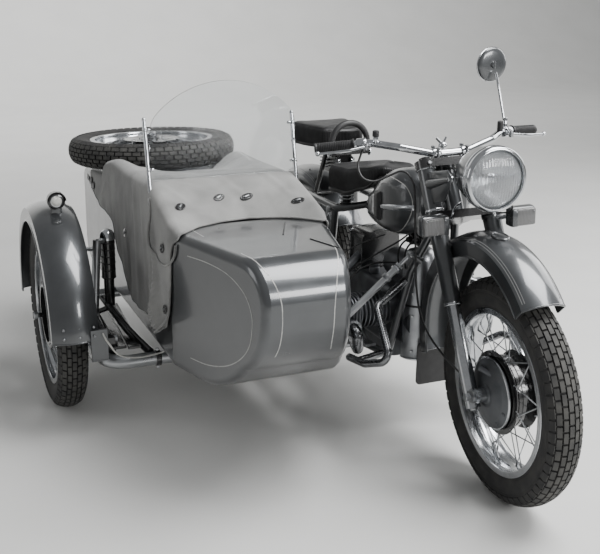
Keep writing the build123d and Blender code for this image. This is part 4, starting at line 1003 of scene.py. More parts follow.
@dataclass
class WireWheel:
    """Rolled rim, laced spokes with nipples, and a cast drum hub.

    Attributes:
        per_side: Spokes on each hub flange.
        lean: Half the angle that a spoke spans round the wheel, in degrees.
        bed_r: Radius at which the spokes meet the rim.
    """

    per_side: int = 20
    lean: float = 13.0
    bed_r: float = 236.0

    RIM = ((256.0, 38.6), (257.2, 40.2), (256.4, 41.7), (254.2, 42.0), (249.5, 41.4), (246.5, 41.6), (240.5, 42.0),
           (237.6, 41.2), (236.6, 38.4), (237.4, 30.0), (236.0, 20.0), (232.6, 13.0), (231.4, 0.0))
    BED = ((241.2, 0.0), (242.4, 14.0), (244.0, 30.0), (245.0, 38.4))
    HUB = ((11.0, 44.0), (26.0, 44.0), (30.0, 43.0), (34.0, 40.0), (38.0, 37.0), (62.0, 36.0), (66.0, 38.0),
           (112.0, 39.0), (119.0, 38.6), (120.0, 37.0), (119.0, 34.6), (112.0, 34.0), (92.0, 32.0), (85.0, 27.0),
           (84.0, 16.0), (90.0, 10.0), (104.0, 6.0), (110.0, 3.0), (110.5, -8.0), (108.5, -10.0), (108.5, -12.0),
           (111.0, -14.0), (111.0, -22.0), (108.5, -24.0), (108.5, -26.0), (112.0, -28.0), (113.0, -34.0),
           (127.0, -35.4), (128.0, -37.0), (127.0, -39.4), (112.5, -40.2), (112.0, -44.0), (103.0, -44.0),
           (103.0, -14.0), (30.0, -14.0), (11.0, -14.0))
    # Side, flange radius, and place of the flange's inner and outer face.
    FLANGES = ((-1, 123.5, 34.4, 37.6), (1, 115.5, 33.4, 39.6))

    def rim(self) -> Mesh:
        """Turn the rolled rim with its curled flanges and dropped bed.

        Returns:
            The closed rim.
        """
        mirrored = [(r, -x) for r, x in reversed(self.RIM[:-1])] + [(r, -x) for r, x in reversed(self.BED)]
        return lathe([*self.RIM, *mirrored, *self.BED[1:]], 96, closed=True)

    def laced(self, piece: Piece) -> None:
        """Lace the spokes and their nipples.

        Args:
            piece: The wheel that takes them.
        """
        step = 360.0 / self.per_side
        for side, hub_r, inner, outer in self.FLANGES:
            for index in range(self.per_side):
                lean = self.lean * (1 if index % 2 else -1)
                centre = index * step + (step / 2 if side > 0 else 0.0)
                a0, a1 = math.radians(centre - lean), math.radians(centre + lean)
                x = side * (outer if index % 2 else inner)
                start = Vector((mm(x), mm(hub_r) * math.cos(a0), mm(hub_r) * math.sin(a0)))
                end = Vector((mm(side * 7.0), mm(self.bed_r) * math.cos(a1), mm(self.bed_r) * math.sin(a1)))
                span = (end - start).normalized()
                piece.take(rod(start, end, 3.8, sides=8), Shade.STEEL)
                piece.take(rod(end - span * mm(17), end, 6.6, 7.4, sides=6), Shade.STEEL)
                piece.take(ball(3.4, start, 8), Shade.STEEL)

    def build(self, name: str, body: str, node: str, place: Matrix) -> bpy.types.Object:
        """Build the whole wheel.

        Args:
            name: The object's name.
            body: The body that it rides on.
            node: The CAD node that it replaces.
            place: Its move from the origin, axle along X.

        Returns:
            The wheel's object.
        """
        wheel = Piece(name, body, [Shade.RIM, Shade.FRAME, Shade.STEEL], "steel", place)
        wheel.take(self.rim(), Shade.RIM)
        wheel.take(lathe(self.HUB, 72, closed=True), Shade.FRAME)
        self.laced(wheel)
        for index in range(6):
            angle = index * math.pi / 3
            foot = Vector((mm(35.5), mm(50) * math.cos(angle), mm(50) * math.sin(angle)))
            wheel.take(bolt(foot, Vector((1, 0, 0)), 11.0, 6.0), Shade.STEEL)
        return wheel.done([node], smooth_deg=38.0)


# Lighting and camera


@dataclass
class Studio:
    """Floor, soft light and the camera at the photograph's place.

    Attributes:
        eye: The camera's place in machine millimetres.
        yaw: Its turn from straight to the rear, in degrees.
        pitch: Its look down, in degrees.
        lens: Its focal length on a 36 mm frame.
        reach: Half the floor's size in metres.
        air: Strength of the light from all round.
    """

    eye: Spot = (-1642.38, -3870.44, 1540.80)
    yaw: float = 22.165
    pitch: float = 16.583
    lens: float = 60.67
    reach: float = 12.0
    air: float = 0.42

    MIDDLE = (0.0, 0.0, 0.5)
    # Name, place and size in metres, power in watts, and the point that it looks at.
    LIGHTS = (("sky", (1.8, -1.4, 4.6), (3.0, 3.0), 430.0, MIDDLE),
              ("front", (2.6, -5.4, 2.4), (2.4, 1.4), 210.0, MIDDLE),
              ("left rim", (4.8, 0.8, 2.6), (3.0, 3.0), 130.0, MIDDLE),
              ("right", (-5.2, 0.6, 2.2), (1.6, 2.4), 30.0, MIDDLE),
              ("backdrop", (0.0, 6.0, 6.5), (9.0, 1.5), 900.0, (0.0, 12.0, 3.0)))

    def camera(self) -> None:
        """Set the camera where the photograph was taken from."""
        data = bpy.data.cameras.new("photo camera")
        data.lens = self.lens
        data.sensor_width = 36.0
        data.sensor_fit = "HORIZONTAL"
        data.clip_end = 100.0
        camera = bpy.data.objects.new("photo camera", data)
        camera.location = at(*self.eye)
        yaw, pitch = math.radians(self.yaw), math.radians(self.pitch)
        view = Vector((math.sin(yaw) * math.cos(pitch), math.cos(yaw) * math.cos(pitch), -math.sin(pitch)))
        camera.rotation_euler = view.to_track_quat("-Z", "Y").to_euler()
        bpy.context.scene.collection.objects.link(camera)
        bpy.context.scene.camera = camera

    def floor(self) -> None:
        """Lay the floor and raise the backdrop behind it."""
        mesh = bmesh.new()
        bmesh.ops.create_grid(mesh, x_segments=2, y_segments=2, size=self.reach)
        back = [e for e in mesh.edges if all(v.co.y > self.reach - 0.1 for v in e.verts)]
        raised = bmesh.ops.extrude_edge_only(mesh, edges=back)["geom"]
        bmesh.ops.translate(mesh, vec=(0, 0, 9.0), verts=verts_of(raised))
        seam = [e for e in mesh.edges if all(v.co.y > self.reach - 0.1 and v.co.z < 0.01 for v in e.verts)]
        soften(mesh, seam, 3000.0, 12)
        bmesh.ops.translate(mesh, vec=(0, 0, -0.0005), verts=mesh.verts)
        data = bpy.data.meshes.new("floor")
        mesh.to_mesh(data)
        mesh.free()
        for polygon in data.polygons:
            polygon.use_smooth = True
        data.materials.append(Shade.FLOOR.material())
        floor = bpy.data.objects.new("floor", data)
        bpy.context.scene.collection.objects.link(floor)

    def build(self) -> None:
        """Set up the camera, the floor, the soft lights and the air."""
        self.camera()
        self.floor()
        for name, place, size, power, target in self.LIGHTS:
            data = bpy.data.lights.new(name, "AREA")
            data.shape = "RECTANGLE"
            data.size, data.size_y = size
            data.energy = power
            light = bpy.data.objects.new(name, data)
            light.location = place
            light.rotation_euler = (Vector(target) - Vector(place)).to_track_quat("-Z", "Y").to_euler()
            bpy.context.scene.collection.objects.link(light)
        world = bpy.data.worlds.new("studio air")
        world.use_nodes = True
        feed(world.node_tree, world.node_tree.nodes["Background"], Color=linear("e6e7e8"), Strength=self.air)
        bpy.context.scene.world = world


# Sidecar


@dataclass
class CanvasCover:
    """Proofed cotton cover of the cockpit: apron up to the windscreen, tonneau behind it and hanging sides.

    Attributes:
        screen_y: Place of the windscreen's foot.
        open_y: Rear edge of the tonneau between the side strips.
        rear_y: Rear end of the side strips.
        thick: Thickness of the cloth.
        front_rows: Rows of points up to the tonneau's rear edge.
        rear_rows: Rows of points from there to the end of the side strips.
    """

    screen_y: float = -645.0
    open_y: float = -54.0
    rear_y: float = 338.0
    thick: float = 2.4
    front_rows: int = 92
    rear_rows: int = 44

    # Front edge as station by place across; the other tables give a height or a size by station.
    FRONT = ((-262.0, -966.0), (-243.0, -962.0), (-161.0, -896.0), (-78.0, -850.0), (20.0, -834.0), (110.0, -862.0),
             (180.0, -915.0), (243.0, -972.0), (262.0, -980.0))
    HEM = ((-990.0, 470.0), (-905.0, 478.0), (-870.0, 446.0), (-830.0, 432.0), (-720.0, 424.0), (-590.0, 418.0),
           (-400.0, 408.0), (-312.0, 412.0), (-288.0, 452.0), (-230.0, 500.0), (-170.0, 540.0), (-110.0, 622.0),
           (-54.0, 640.0), (40.0, 648.0), (150.0, 655.0), (338.0, 690.0))
    COAMING = ((-645.0, 892.0), (-100.0, 878.0), (20.0, 850.0), (60.0, 834.0), (90.0, 800.0), (112.0, 780.0),
               (338.0, 766.0))
    RIDGE = ((-645.0, 892.0), (-610.0, 889.0), (-300.0, 858.0), (-96.0, 792.0), (-54.0, 776.0), (-30.0, 768.0),
             (338.0, 757.0))
    SHOULDER = ((-990.0, 20.0), (-900.0, 22.0), (-645.0, 40.0), (-300.0, 40.0), (-96.0, 28.0), (-54.0, 20.0),
                (338.0, 12.0))
    # Front edge of the hanging side, as station by share of its height.
    SIDE_EDGE = ((0.0, -862.0), (0.12, -898.0), (0.3, -908.0), (0.8, -916.0), (0.93, -934.0), (1.0, -960.0))
    # Lines pulled into the top, as start and end (x, y), height and width.
    CREASES = ((-236.0, -660.0, -176.0, -770.0, 4.5, 12.0), (-200.0, -655.0, -70.0, -740.0, 3.5, 14.0),
               (-20.0, -650.0, 40.0, -745.0, 3.0, 12.0), (150.0, -655.0, 190.0, -800.0, 4.0, 12.0),
               (236.0, -665.0, 205.0, -810.0, 4.0, 10.0), (-190.0, -820.0, -60.0, -790.0, 3.0, 11.0),
               (-230.0, -600.0, -60.0, -420.0, 5.0, 20.0), (230.0, -600.0, 60.0, -380.0, 5.0, 20.0),
               (-200.0, -300.0, 180.0, -250.0, 4.0, 24.0))
    # Lines pulled into the sides, as station at the shoulder and at the hem, height and width.
    PULLS = ((-672.0, -846.0, 9.0, 15.0), (-640.0, -748.0, 8.0, 16.0), (-560.0, -640.0, 7.0, 18.0),
             (-470.0, -500.0, 6.0, 20.0), (-300.0, -360.0, 5.0, 18.0))
    # Seam of the stitched panel on each side, as (y, z).
    SEAM = ((-700.0, 850.0), (-708.0, 800.0), (-714.0, 740.0), (-738.0, 690.0), (-790.0, 664.0), (-850.0, 663.0),
            (-900.0, 676.0), (-936.0, 706.0), (-948.0, 748.0))
    STUDS = ((-197.0, -812.0), (-49.0, -748.0), (46.0, -754.0), (198.0, -832.0))
    SIDE_STUDS = ((-846.0, 716.0), (-868.0, 520.0), (-300.0, 640.0))
    STRAP = ((250.0, 700.0), (290.0, 716.0), (336.0, 728.0), (380.0, 724.0))

    @staticmethod
    def between(table: Outline, key: float) -> float:
        """Read a table of pairs by straight interpolation.

        Args:
            table: Pairs of key and value, in order of the key.
            key: The key.

        Returns:
            The value, which stays the first or last beyond the table's ends.
        """
        if key <= table[0][0]:
            return table[0][1]
        for (a, u), (b, v) in zip(table, table[1:]):
            if key <= b:
                return u + (v - u) * (key - a) / (b - a)
        return table[-1][1]

    def half(self, y: float) -> float:
        """Give the cloth's half width over the body at a station."""
        taper = max(0.0, -900.0 - y) * 0.2589
        return 262.0 - taper + 3.0

    def deck(self, y: float) -> float:
        """Give the height of the body's deck at a station."""
        return 784.0 if y < -900.0 else 784.0 - (y + 900.0) / 840.0 * 32.0 if y < -60.0 else 752.0

    def corner(self, y: float) -> float:
        """Give the radius of the cloth's shoulder at a station."""
        return self.between(self.SHOULDER, y)

    def top(self, x: float, y: float) -> float:
        """Give the height of the cloth's top at a point, without its wrinkles.

        Args:
            x: Place across, from the body's middle.
            y: The station.

        Returns:
            The height in millimetres.
        """
        front = self.between(self.FRONT, x)
        if y <= self.screen_y:
            t = max(0.0, (y - front) / (self.screen_y - front))
            low = self.deck(front) + 3.0
            rise = t * (1.18 - 0.18 * t)
            return low + (892.0 - low) * rise
        ridge = self.between(self.RIDGE, y)
        sag = 9.0 * math.sin(math.pi * min(1.0, max(0.0, (y + 645.0) / 590.0))) * (1.0 - (x / 262.0) ** 2)
        share = min(1.0, max(0.0, (abs(x) - 90.0) / 150.0))
        rise = max(0.0, self.between(self.COAMING, y) - ridge)
        return ridge - sag + rise * share * share * (3.0 - 2.0 * share)

    def folds(self, side: float, a: float, y: float) -> float:
        """Give how far the hanging side stands off the body.

        Args:
            side: -1 on the outfit's right, 1 on its left, where the folds are half as deep.
            a: Height on the side, 0 at the hem and 1 at the shoulder.
            y: The station.

        Returns:
            The distance in millimetres.
        """
        low = 1.0 - a
        drop = low ** 1.5
        wave = math.sin(y / 47.0 + 1.3 * side) + 0.6 * math.sin(y / 21.0 + 2.1 + 3.0 * a)
        wave += 0.35 * math.sin(y / 11.0 - 4.0 * a)
        swing = math.exp(-((y + 840.0) / 90.0) ** 2)
        crease = max(0.0, math.sin((y + 360.0 * a) / 34.0)) ** 3 * math.exp(-((a - 0.55) / 0.35) ** 2)
        for high, hem, size, wide in self.PULLS:
            drop += 0.38 * size * (0.25 + 0.75 * low) * math.exp(-((y - high - (hem - high) * low) / wide) ** 2)
        ripple = 0.7 * math.sin(y / 16.0 + 5.0 * a) * low
        return 1.2 + (1.0 if side < 0 else 0.5) * (drop * (3.4 + 2.6 * wave + 9.0 * swing) + 1.8 * crease + ripple)

    def stand(self, side: float, y: float, z: float) -> Vector:
        """Find the cloth's outer face on a hanging side.

        Args:
            side: -1 on the outfit's right, 1 on its left.
            y: The station.
            z: The height.

        Returns:
            The point in the frame's metres.
        """
        low, shoulder = self.between(self.HEM, y), self.top(side * 240.0, y) - self.corner(y)
        share = min(1.0, max(0.0, (z - low) / (shoulder - low)))
        return at(TUB_X + side * (self.half(y) + self.folds(side, share, y) + self.thick / 2), y, z)

    def wrinkle(self, x: float, y: float) -> float:
        """Give the small ups and downs of the cloth on top.

        Args:
            x: Place across, from the body's middle.
            y: The station.

        Returns:
            The height to add in millimetres.
        """
        pull = sum(math.exp(-((x - bx) ** 2 + (y - by) ** 2) / 2600.0) * -2.0 for bx, by in self.STUDS)
        ripple = 0.9 * math.sin(x / 29.0 + y / 51.0) + 0.6 * math.sin(x / 13.0 - y / 37.0 + 1.0)
        ripple += 0.4 * math.sin(y / 9.0 + x / 60.0)
        for x0, y0, x1, y1, size, wide in self.CREASES:
            t = ((x - x0) * (x1 - x0) + (y - y0) * (y1 - y0)) / ((x1 - x0) ** 2 + (y1 - y0) ** 2)
            t = max(0.0, min(1.0, t))
            gap = math.hypot(x - x0 - t * (x1 - x0), y - y0 - t * (y1 - y0))
            ripple += size * math.exp(-(gap / wide) ** 2)
        return 1.6 + ripple + pull

    def station(self, edge: float, v: int) -> float:
        """Find the station of a row, on a line of points that starts at the front edge.

        Args:
            edge: Station of the line's front end.
            v: Number of the row.

        Returns:
            The station in millimetres.
        """
        if v <= self.front_rows:
            return edge + (self.open_y - edge) * v / self.front_rows
        return self.open_y + (self.rear_y - self.open_y) * (v - self.front_rows) / self.rear_rows

    def section(self, v: int) -> list[Vector]:
        """Lay one row of the cloth's points from the right hem over the top to the left hem.

        Args:
            v: Number of the row.

        Returns:
            The points in the frame's metres.
        """
        side_steps, arc_steps, top_steps = 26, 6, 56
        runs = []
        for side in (-1.0, 1.0):
            run = []
            for step in range(side_steps + 1):
                a = step / side_steps
                y = self.station(-846.0 if a < 0.02 else self.between(self.SIDE_EDGE, a), v)
                shoulder = self.top(side * 240.0, y) - self.corner(y)
                low = self.between(self.HEM, y)
                run.append(at(TUB_X + side * (self.half(y) + self.folds(side, a, y)), y, low + (shoulder - low) * a))
            y = self.station(-960.0, v)
            r = self.corner(y)
            for step in range(1, arc_steps):
                angle = math.pi / 2 * step / arc_steps
                out = self.half(y) + 1.2 - r + r * math.cos(angle)
                run.append(at(TUB_X + side * out, y, self.top(side * 240.0, y) - r + r * math.sin(angle)))
            runs.append(run)
        flat = []
        for step in range(top_steps + 1):
            x0 = step / top_steps * 2.0 - 1.0
            y = self.station(self.between(self.FRONT, x0 * 240.0), v)
            x = x0 * (self.half(y) + 1.2 - self.corner(y))
            wrinkle = self.wrinkle(x, y) * (1.0 - x0 ** 8) * min(1.0, v / 12.0)
            flat.append(at(TUB_X + x, y, self.top(x, y) + wrinkle))
        return runs[0] + flat + runs[1][::-1]

    def build(self) -> None:
        rows = [self.section(v) for v in range(self.front_rows + self.rear_rows + 1)]
        mesh = skin(rows, closed=False)
        middle, behind = at(TUB_X, 0, 0).x, at(0, self.open_y - 1, 0).y
        bare = [f for f in mesh.faces if all(v.co.y > behind for v in f.verts)
                and abs(f.calc_center_median().x - middle) < mm(244.0)]
        bmesh.ops.delete(mesh, geom=bare, context="FACES")
        rims = [e for e in mesh.edges if e.is_boundary and all(v.co.y > behind for v in e.verts)
                and abs(e.verts[0].co.y - e.verts[1].co.y) > mm(1.0)
                and all(mm(240.0) < abs(v.co.x - middle) < mm(256.0) for v in e.verts)]
        for vert in verts_of(bmesh.ops.extrude_edge_only(mesh, edges=rims)["geom"]):
            vert.co.z = mm(758.0)
        layer = mesh.loops.layers.uv.new("cloth")
        bmesh.ops.recalc_face_normals(mesh, faces=mesh.faces)
        area = sum(f.calc_area() for f in mesh.faces)
        bmesh.ops.solidify(mesh, geom=mesh.faces[:], thickness=mm(self.thick))
        for loop in (loop for face in mesh.faces for loop in face.loops):
            place = loop.vert.co
            x = place.x - middle
            bent_x = math.copysign(0.24 + (0.9 - place.z), x) if abs(x) > 0.24 else x
            loop[layer].uv = (bent_x, place.y)
        cloth = Piece("canvas_cover_cloth", "machine", [Shade.CANVAS], "canvas", mesh=mesh)
        sheet = cloth.done(["canvas_cover"], smooth_deg=70.0)
        piping = Piece("canvas_piping", "machine", [Shade.CANVAS], "canvas")
        piping.take(bent([p + off(0, 0, 1.0) for p in rows[0][::2]], 7.0, 8))
        for end in (0, -1):
            piping.take(bent([row[end] for row in rows[::3]], 5.0, 8))
        for side in (-1.0, 1.0):
            seam = smooth_route([(y, z, 0.0) for y, z in self.SEAM], 4)
            piping.take(bent([self.stand(side, y, z) for y, z, _ in seam], 8.0, 8))
        layer = piping.mesh.loops.layers.uv.new("cloth")
        for loop in (loop for face in piping.mesh.faces for loop in face.loops):
            loop[layer].uv = (loop.vert.co.x, loop.vert.co.y)
        trim = piping.done(smooth_deg=60.0)
        self.fastenings()

    def fastenings(self) -> None:
        """Build the turn buttons and the straps at the rear corners."""
        studs = Piece("canvas_turn_buttons", "machine", [Shade.STEEL, Shade.FRAME], "steel")
        for x, y in self.STUDS:
            z = self.top(x, y) + self.wrinkle(x, y)
            up = Vector((self.top(x - 8, y) - self.top(x + 8, y), self.top(x, y - 8) - self.top(x, y + 8), 16.0))
            self.button(studs, at(TUB_X + x, y, z), up.normalized())
        for y, z in self.SIDE_STUDS:
            for side in (-1.0, 1.0):
                self.button(studs, self.stand(side, y, z), Vector((side, 0, 0)))
        studs.done(smooth_deg=40.0)
        strap = Piece("canvas_corner_strap", "machine", [Shade.RUBBER, Shade.STEEL], "rubber")
        for side in (-1.0, 1.0):
            path = [at(TUB_X + side * (self.half(y) + 6.0), y, z) for y, z in self.STRAP]
            for start, end in zip(path, path[1:]):
                tilt = math.atan2((start - end).z, (end - start).y) + math.pi / 2
                strap.take(brick((3.0, 26.0, (end - start).length * 1000 + 6.0), 1.2, 1), None,
                           Matrix.Translation((start + end) / 2) @ Matrix.Rotation(tilt, 4, "X"))
            for spot in path[1:3]:
                strap.take(rod(spot, spot + off(side * 5, 0, 0), 10.0, round_mm=1.0), Shade.STEEL)
        strap.done()

    @staticmethod
    def button(piece: Piece, place: Vector, up: Vector) -> None:
        """Set one oval turn button on the cloth.

        Args:
            piece: The piece that takes it.
            place: Its foot in the frame's metres.
            up: Direction away from the cloth.
        """
        turn = aim(place, place + up) @ Matrix.Rotation(math.radians(28.0), 4, "Z") @ X_TO_UP
        oval = turn @ Matrix.Diagonal((1.0, 0.74, 1.2, 1.0))
        plate = [(0.0, 0.0), (17.0, 0.0), (18.5, 1.6), (17.0, 3.4), (12.0, 3.8), (11.0, 2.4), (0.0, 2.4)]
        piece.take(lathe(plate, 24), Shade.FRAME, oval)
        rim = [(17.2, 0.6), (19.6, 0.6), (20.0, 2.0), (19.0, 3.2), (17.2, 3.0)]
        piece.take(lathe(rim, 24, closed=True), Shade.FRAME, oval)
        piece.take(brick((6.0, 6.0, 20.0), 2.2, 2), Shade.STEEL, turn @ Matrix.Translation(off(4.4, 0, 0)))


@dataclass
class TubLining:
    """Painted lines and rub strips on the sidecar body."""

    SIDE = ((-842, -1006, 728), (-815, -1122, 732), (-787, -1226, 722), (-767, -1303, 688), (-759, -1338, 641),
            (-758, -1343, 592), (-762, -1326, 532),
            (-774, -1280, 480), (-793, -1206, 436), (-819, -1107, 407), (-842, -1006, 398))

    # Line over the deck, as (x from the middle, y), and down the nose, as (x from the middle, z).
    DECK = ((140, -1236), (139, -1250), (131, -1290), (118, -1335), (105, -1364))
    NOSE = ((105, 752), (92, 722), (82, 680), (79, 640), (79, 590), (81, 540), (86, 505))
    STRIPS = (((-501, -940), (-562, -1082)), ((-505, -1158), (-466, -1296)))

    def build(self) -> None:
        """Draw the side loops and the lines over the deck and down the nose, and lay the strips."""
        lines = Piece("sidecar_lining", "machine", [Shade.LINE], "paint")
        liner = Liner("sidecar_tub", 2.9)
        route = smooth_route(self.SIDE, 12)
        other = [(2 * TUB_X - x, y, z) for x, y, z in route]
        for points, x in ((route, 0.968), (other, -0.968)):
            toward = Vector((x, 0.25, 0)).normalized()
            liner.draw(lines, [tuple(Vector(p) - toward * 60) for p in points], toward)
        for side in (-1, 1):
            deck = [(TUB_X + side * x, y, 900.0) for x, y in self.DECK]
            liner.draw(lines, smooth_route(deck, 8), -UP)
            nose = [(TUB_X + side * x, -1500.0, z) for x, z in self.NOSE]
            liner.draw(lines, smooth_route(nose, 8), REAR)
        liner.width = 2.6
        liner.draw(lines, [(-803 + i, -901 - 11.4 * i, 900.0) for i in range(11)], -UP)
        lines.done(smooth_deg=60.0, weld=LINE_WELD)
        marks = Piece("deck_rub_strips", "machine", [Shade.RUBBER], "rubber")
        for a, b in self.STRIPS:
            start, end = at(*a, 785.4), at(*b, 785.4)
            span = end - start
            marks.take(brick((4.0, span.length * 1000, 2.4), 1.0, 1), None,
                       Matrix.Translation((start + end) / 2) @ Matrix.Rotation(-math.atan2(span.x, span.y), 4, "Z"))
        marks.done()


@dataclass
class FenderTrim:
    """Rolled edges of one fender, and light lines that are a painted highlight of a raised bead.

    Attributes:
        name: The piece's name.
        body: The body that it rides on.
        centre: The fender's turning centre in machine millimetres.
        radius: Radius of its crown.
        width: Its width.
        start: Angle of its front end from the front horizontal over the top, in degrees.
        end: Angle of its rear end.
        turn: The move to the pose at rest.
    """

    name: str
    body: str
    centre: Spot
    radius: float
    width: float
    start: float
    end: float
    turn: Matrix = field(default_factory=Matrix)

    def band(self, outline: Outline, start: float, end: float) -> Mesh:
        """Sweep a closed outline round the fender.

        Args:
            outline: Its points as (radius, x).
            start: First angle in degrees.
            end: Last angle in degrees.

        Returns:
            The band with closed ends.
        """
        steps = max(8, int((end - start) / 2.2))
        mesh = lathe(outline, steps, closed=True, sweep=math.radians(end - start))
        bmesh.ops.holes_fill(mesh, edges=mesh.edges, sides=0)
        spin = place_at(*self.centre) @ Matrix.Rotation(math.radians(90.0 - end), 4, "X")
        bmesh.ops.transform(mesh, matrix=spin, verts=mesh.verts)
        return mesh

    def crown_r(self, x: float) -> float:
        """Give the crown's radius at a distance from its middle."""
        bend = ((self.width / 2) ** 2 + 26.0 ** 2) / 52.0
        return self.radius - bend + math.sqrt(bend ** 2 - x * x)

    def build(self, highlight_lines: Outline) -> None:
        """Build the beads, and the lines painted as a raised bead's highlight.

        Args:
            highlight_lines: Pairs of place across the crown and width of each line of painted highlight.
        """
        trim = Piece(f"{self.name}_edge_beads", self.body, [Shade.BODY], "paint", self.turn)
        half = self.width / 2
        skirt = self.radius - 72.0
        circle = [(skirt + 1.5 + 3.6 * math.cos(a), half - 1.0 + 3.6 * math.sin(a))
                  for a in (i * math.pi / 4 for i in range(8))]
        for side in (1, -1):
            trim.take(self.band([(r, side * x) for r, x in circle], self.start, self.end))
        for angle in (self.start, self.end):
            arc = [self.spot(x, self.crown_r(x) - 1.2, angle) for x in (half * step / 12 for step in range(-12, 13))]
            first, last = (self.spot(x, skirt + 4, angle) for x in (-half + 1.5, half - 1.5))
            trim.take(bent([first, *arc, last], 6.4, 8))
        trim.done(smooth_deg=60.0)
        if not highlight_lines:
            return
        # These lines are a painted highlight, standing for the glint of a raised bead.
        lining = Piece(f"{self.name}_lining", self.body, [Shade.BEAD_HIGHLIGHT], "paint", self.turn)
        for place, width in highlight_lines:
            for side in (1, -1):
                xs = [side * (place + width * k / 2) for k in (-1, 1)]
                outline = [(self.crown_r(x) + lift, x) for lift, row in ((0.2, xs), (0.6, xs[::-1])) for x in row]
                lining.take(self.band(outline, self.start + 3.0, self.end - 3.0))
        lining.done(smooth_deg=60.0, weld=LINE_WELD)

    def spot(self, x: float, r: float, angle: float) -> Vector:
        """Give a point of the fender from its place across, its radius and its angle."""
        a = math.radians(angle)
        return at(self.centre[0] + x, self.centre[1] - r * math.cos(a), self.centre[2] + r * math.sin(a))


@dataclass
class MarkerLamp:
    """Lamp on the sidecar fender: dark hood, bright ring and pale lens."""

    centre: Spot = (-1131.0, -382.0, 796.0)

    def build(self) -> None:
        """Build the lamp, from its hood and shell to the rear lens and the foot."""
        lamp = Piece("marker_lamp_lit", "machine", [Shade.LAMP_SHELL, Shade.CHROME, Shade.WHITE_LENS, Shade.DARK_LENS,
                                                    Shade.FRAME], "lamp")
        place = place_at(*self.centre) @ X_TO_REAR
        shell = lathe([(0, 46), (18, 45), (26, 38), (30, 24), (31, 8), (31, 0), (28.5, 0), (28.5, 10), (0, 12)], 40)
        lamp.take(shell, Shade.LAMP_SHELL, place)
        ring = lathe([(19.0, 2), (30.5, 3), (31.5, 0), (29.0, -4), (24.0, -7), (20.0, -7.5), (18.5, -5)], 40,
                     closed=True)
        lamp.take(ring, Shade.FRAME, place)
        trim = lathe([(18.0, -4), (20.6, -6), (20.6, -8.4), (18.6, -8.8)], 40, closed=True)
        lamp.take(trim, Shade.CHROME, place)
        lens = lathe([(0, -12.0), (8, -11.4), (14, -9.6), (18.8, -6.0), (18.8, 4.0), (0, 4.0)], 40)
        lamp.take(lens, Shade.WHITE_LENS, place)
        rear = lathe([(0, 58), (8, 57.4), (14, 54), (16, 48), (16, 44), (0, 44)], 32)
        lamp.take(rear, Shade.DARK_LENS, place)
        foot = brick((40, 30, 44), 6.0, 3)
        lamp.take(foot, Shade.LAMP_SHELL, place_at(self.centre[0], self.centre[1] + 24, self.centre[2] - 36))
        hood = lathe([(29.4, -3), (31.0, -14), (33.0, -14), (33.2, 6), (31.4, 8)], 24, closed=True, sweep=math.pi)
        lamp.take(hood, Shade.FRAME, place @ Matrix.Rotation(-math.pi / 2, 4, "X"))
        lamp.done(["marker_lamp"])


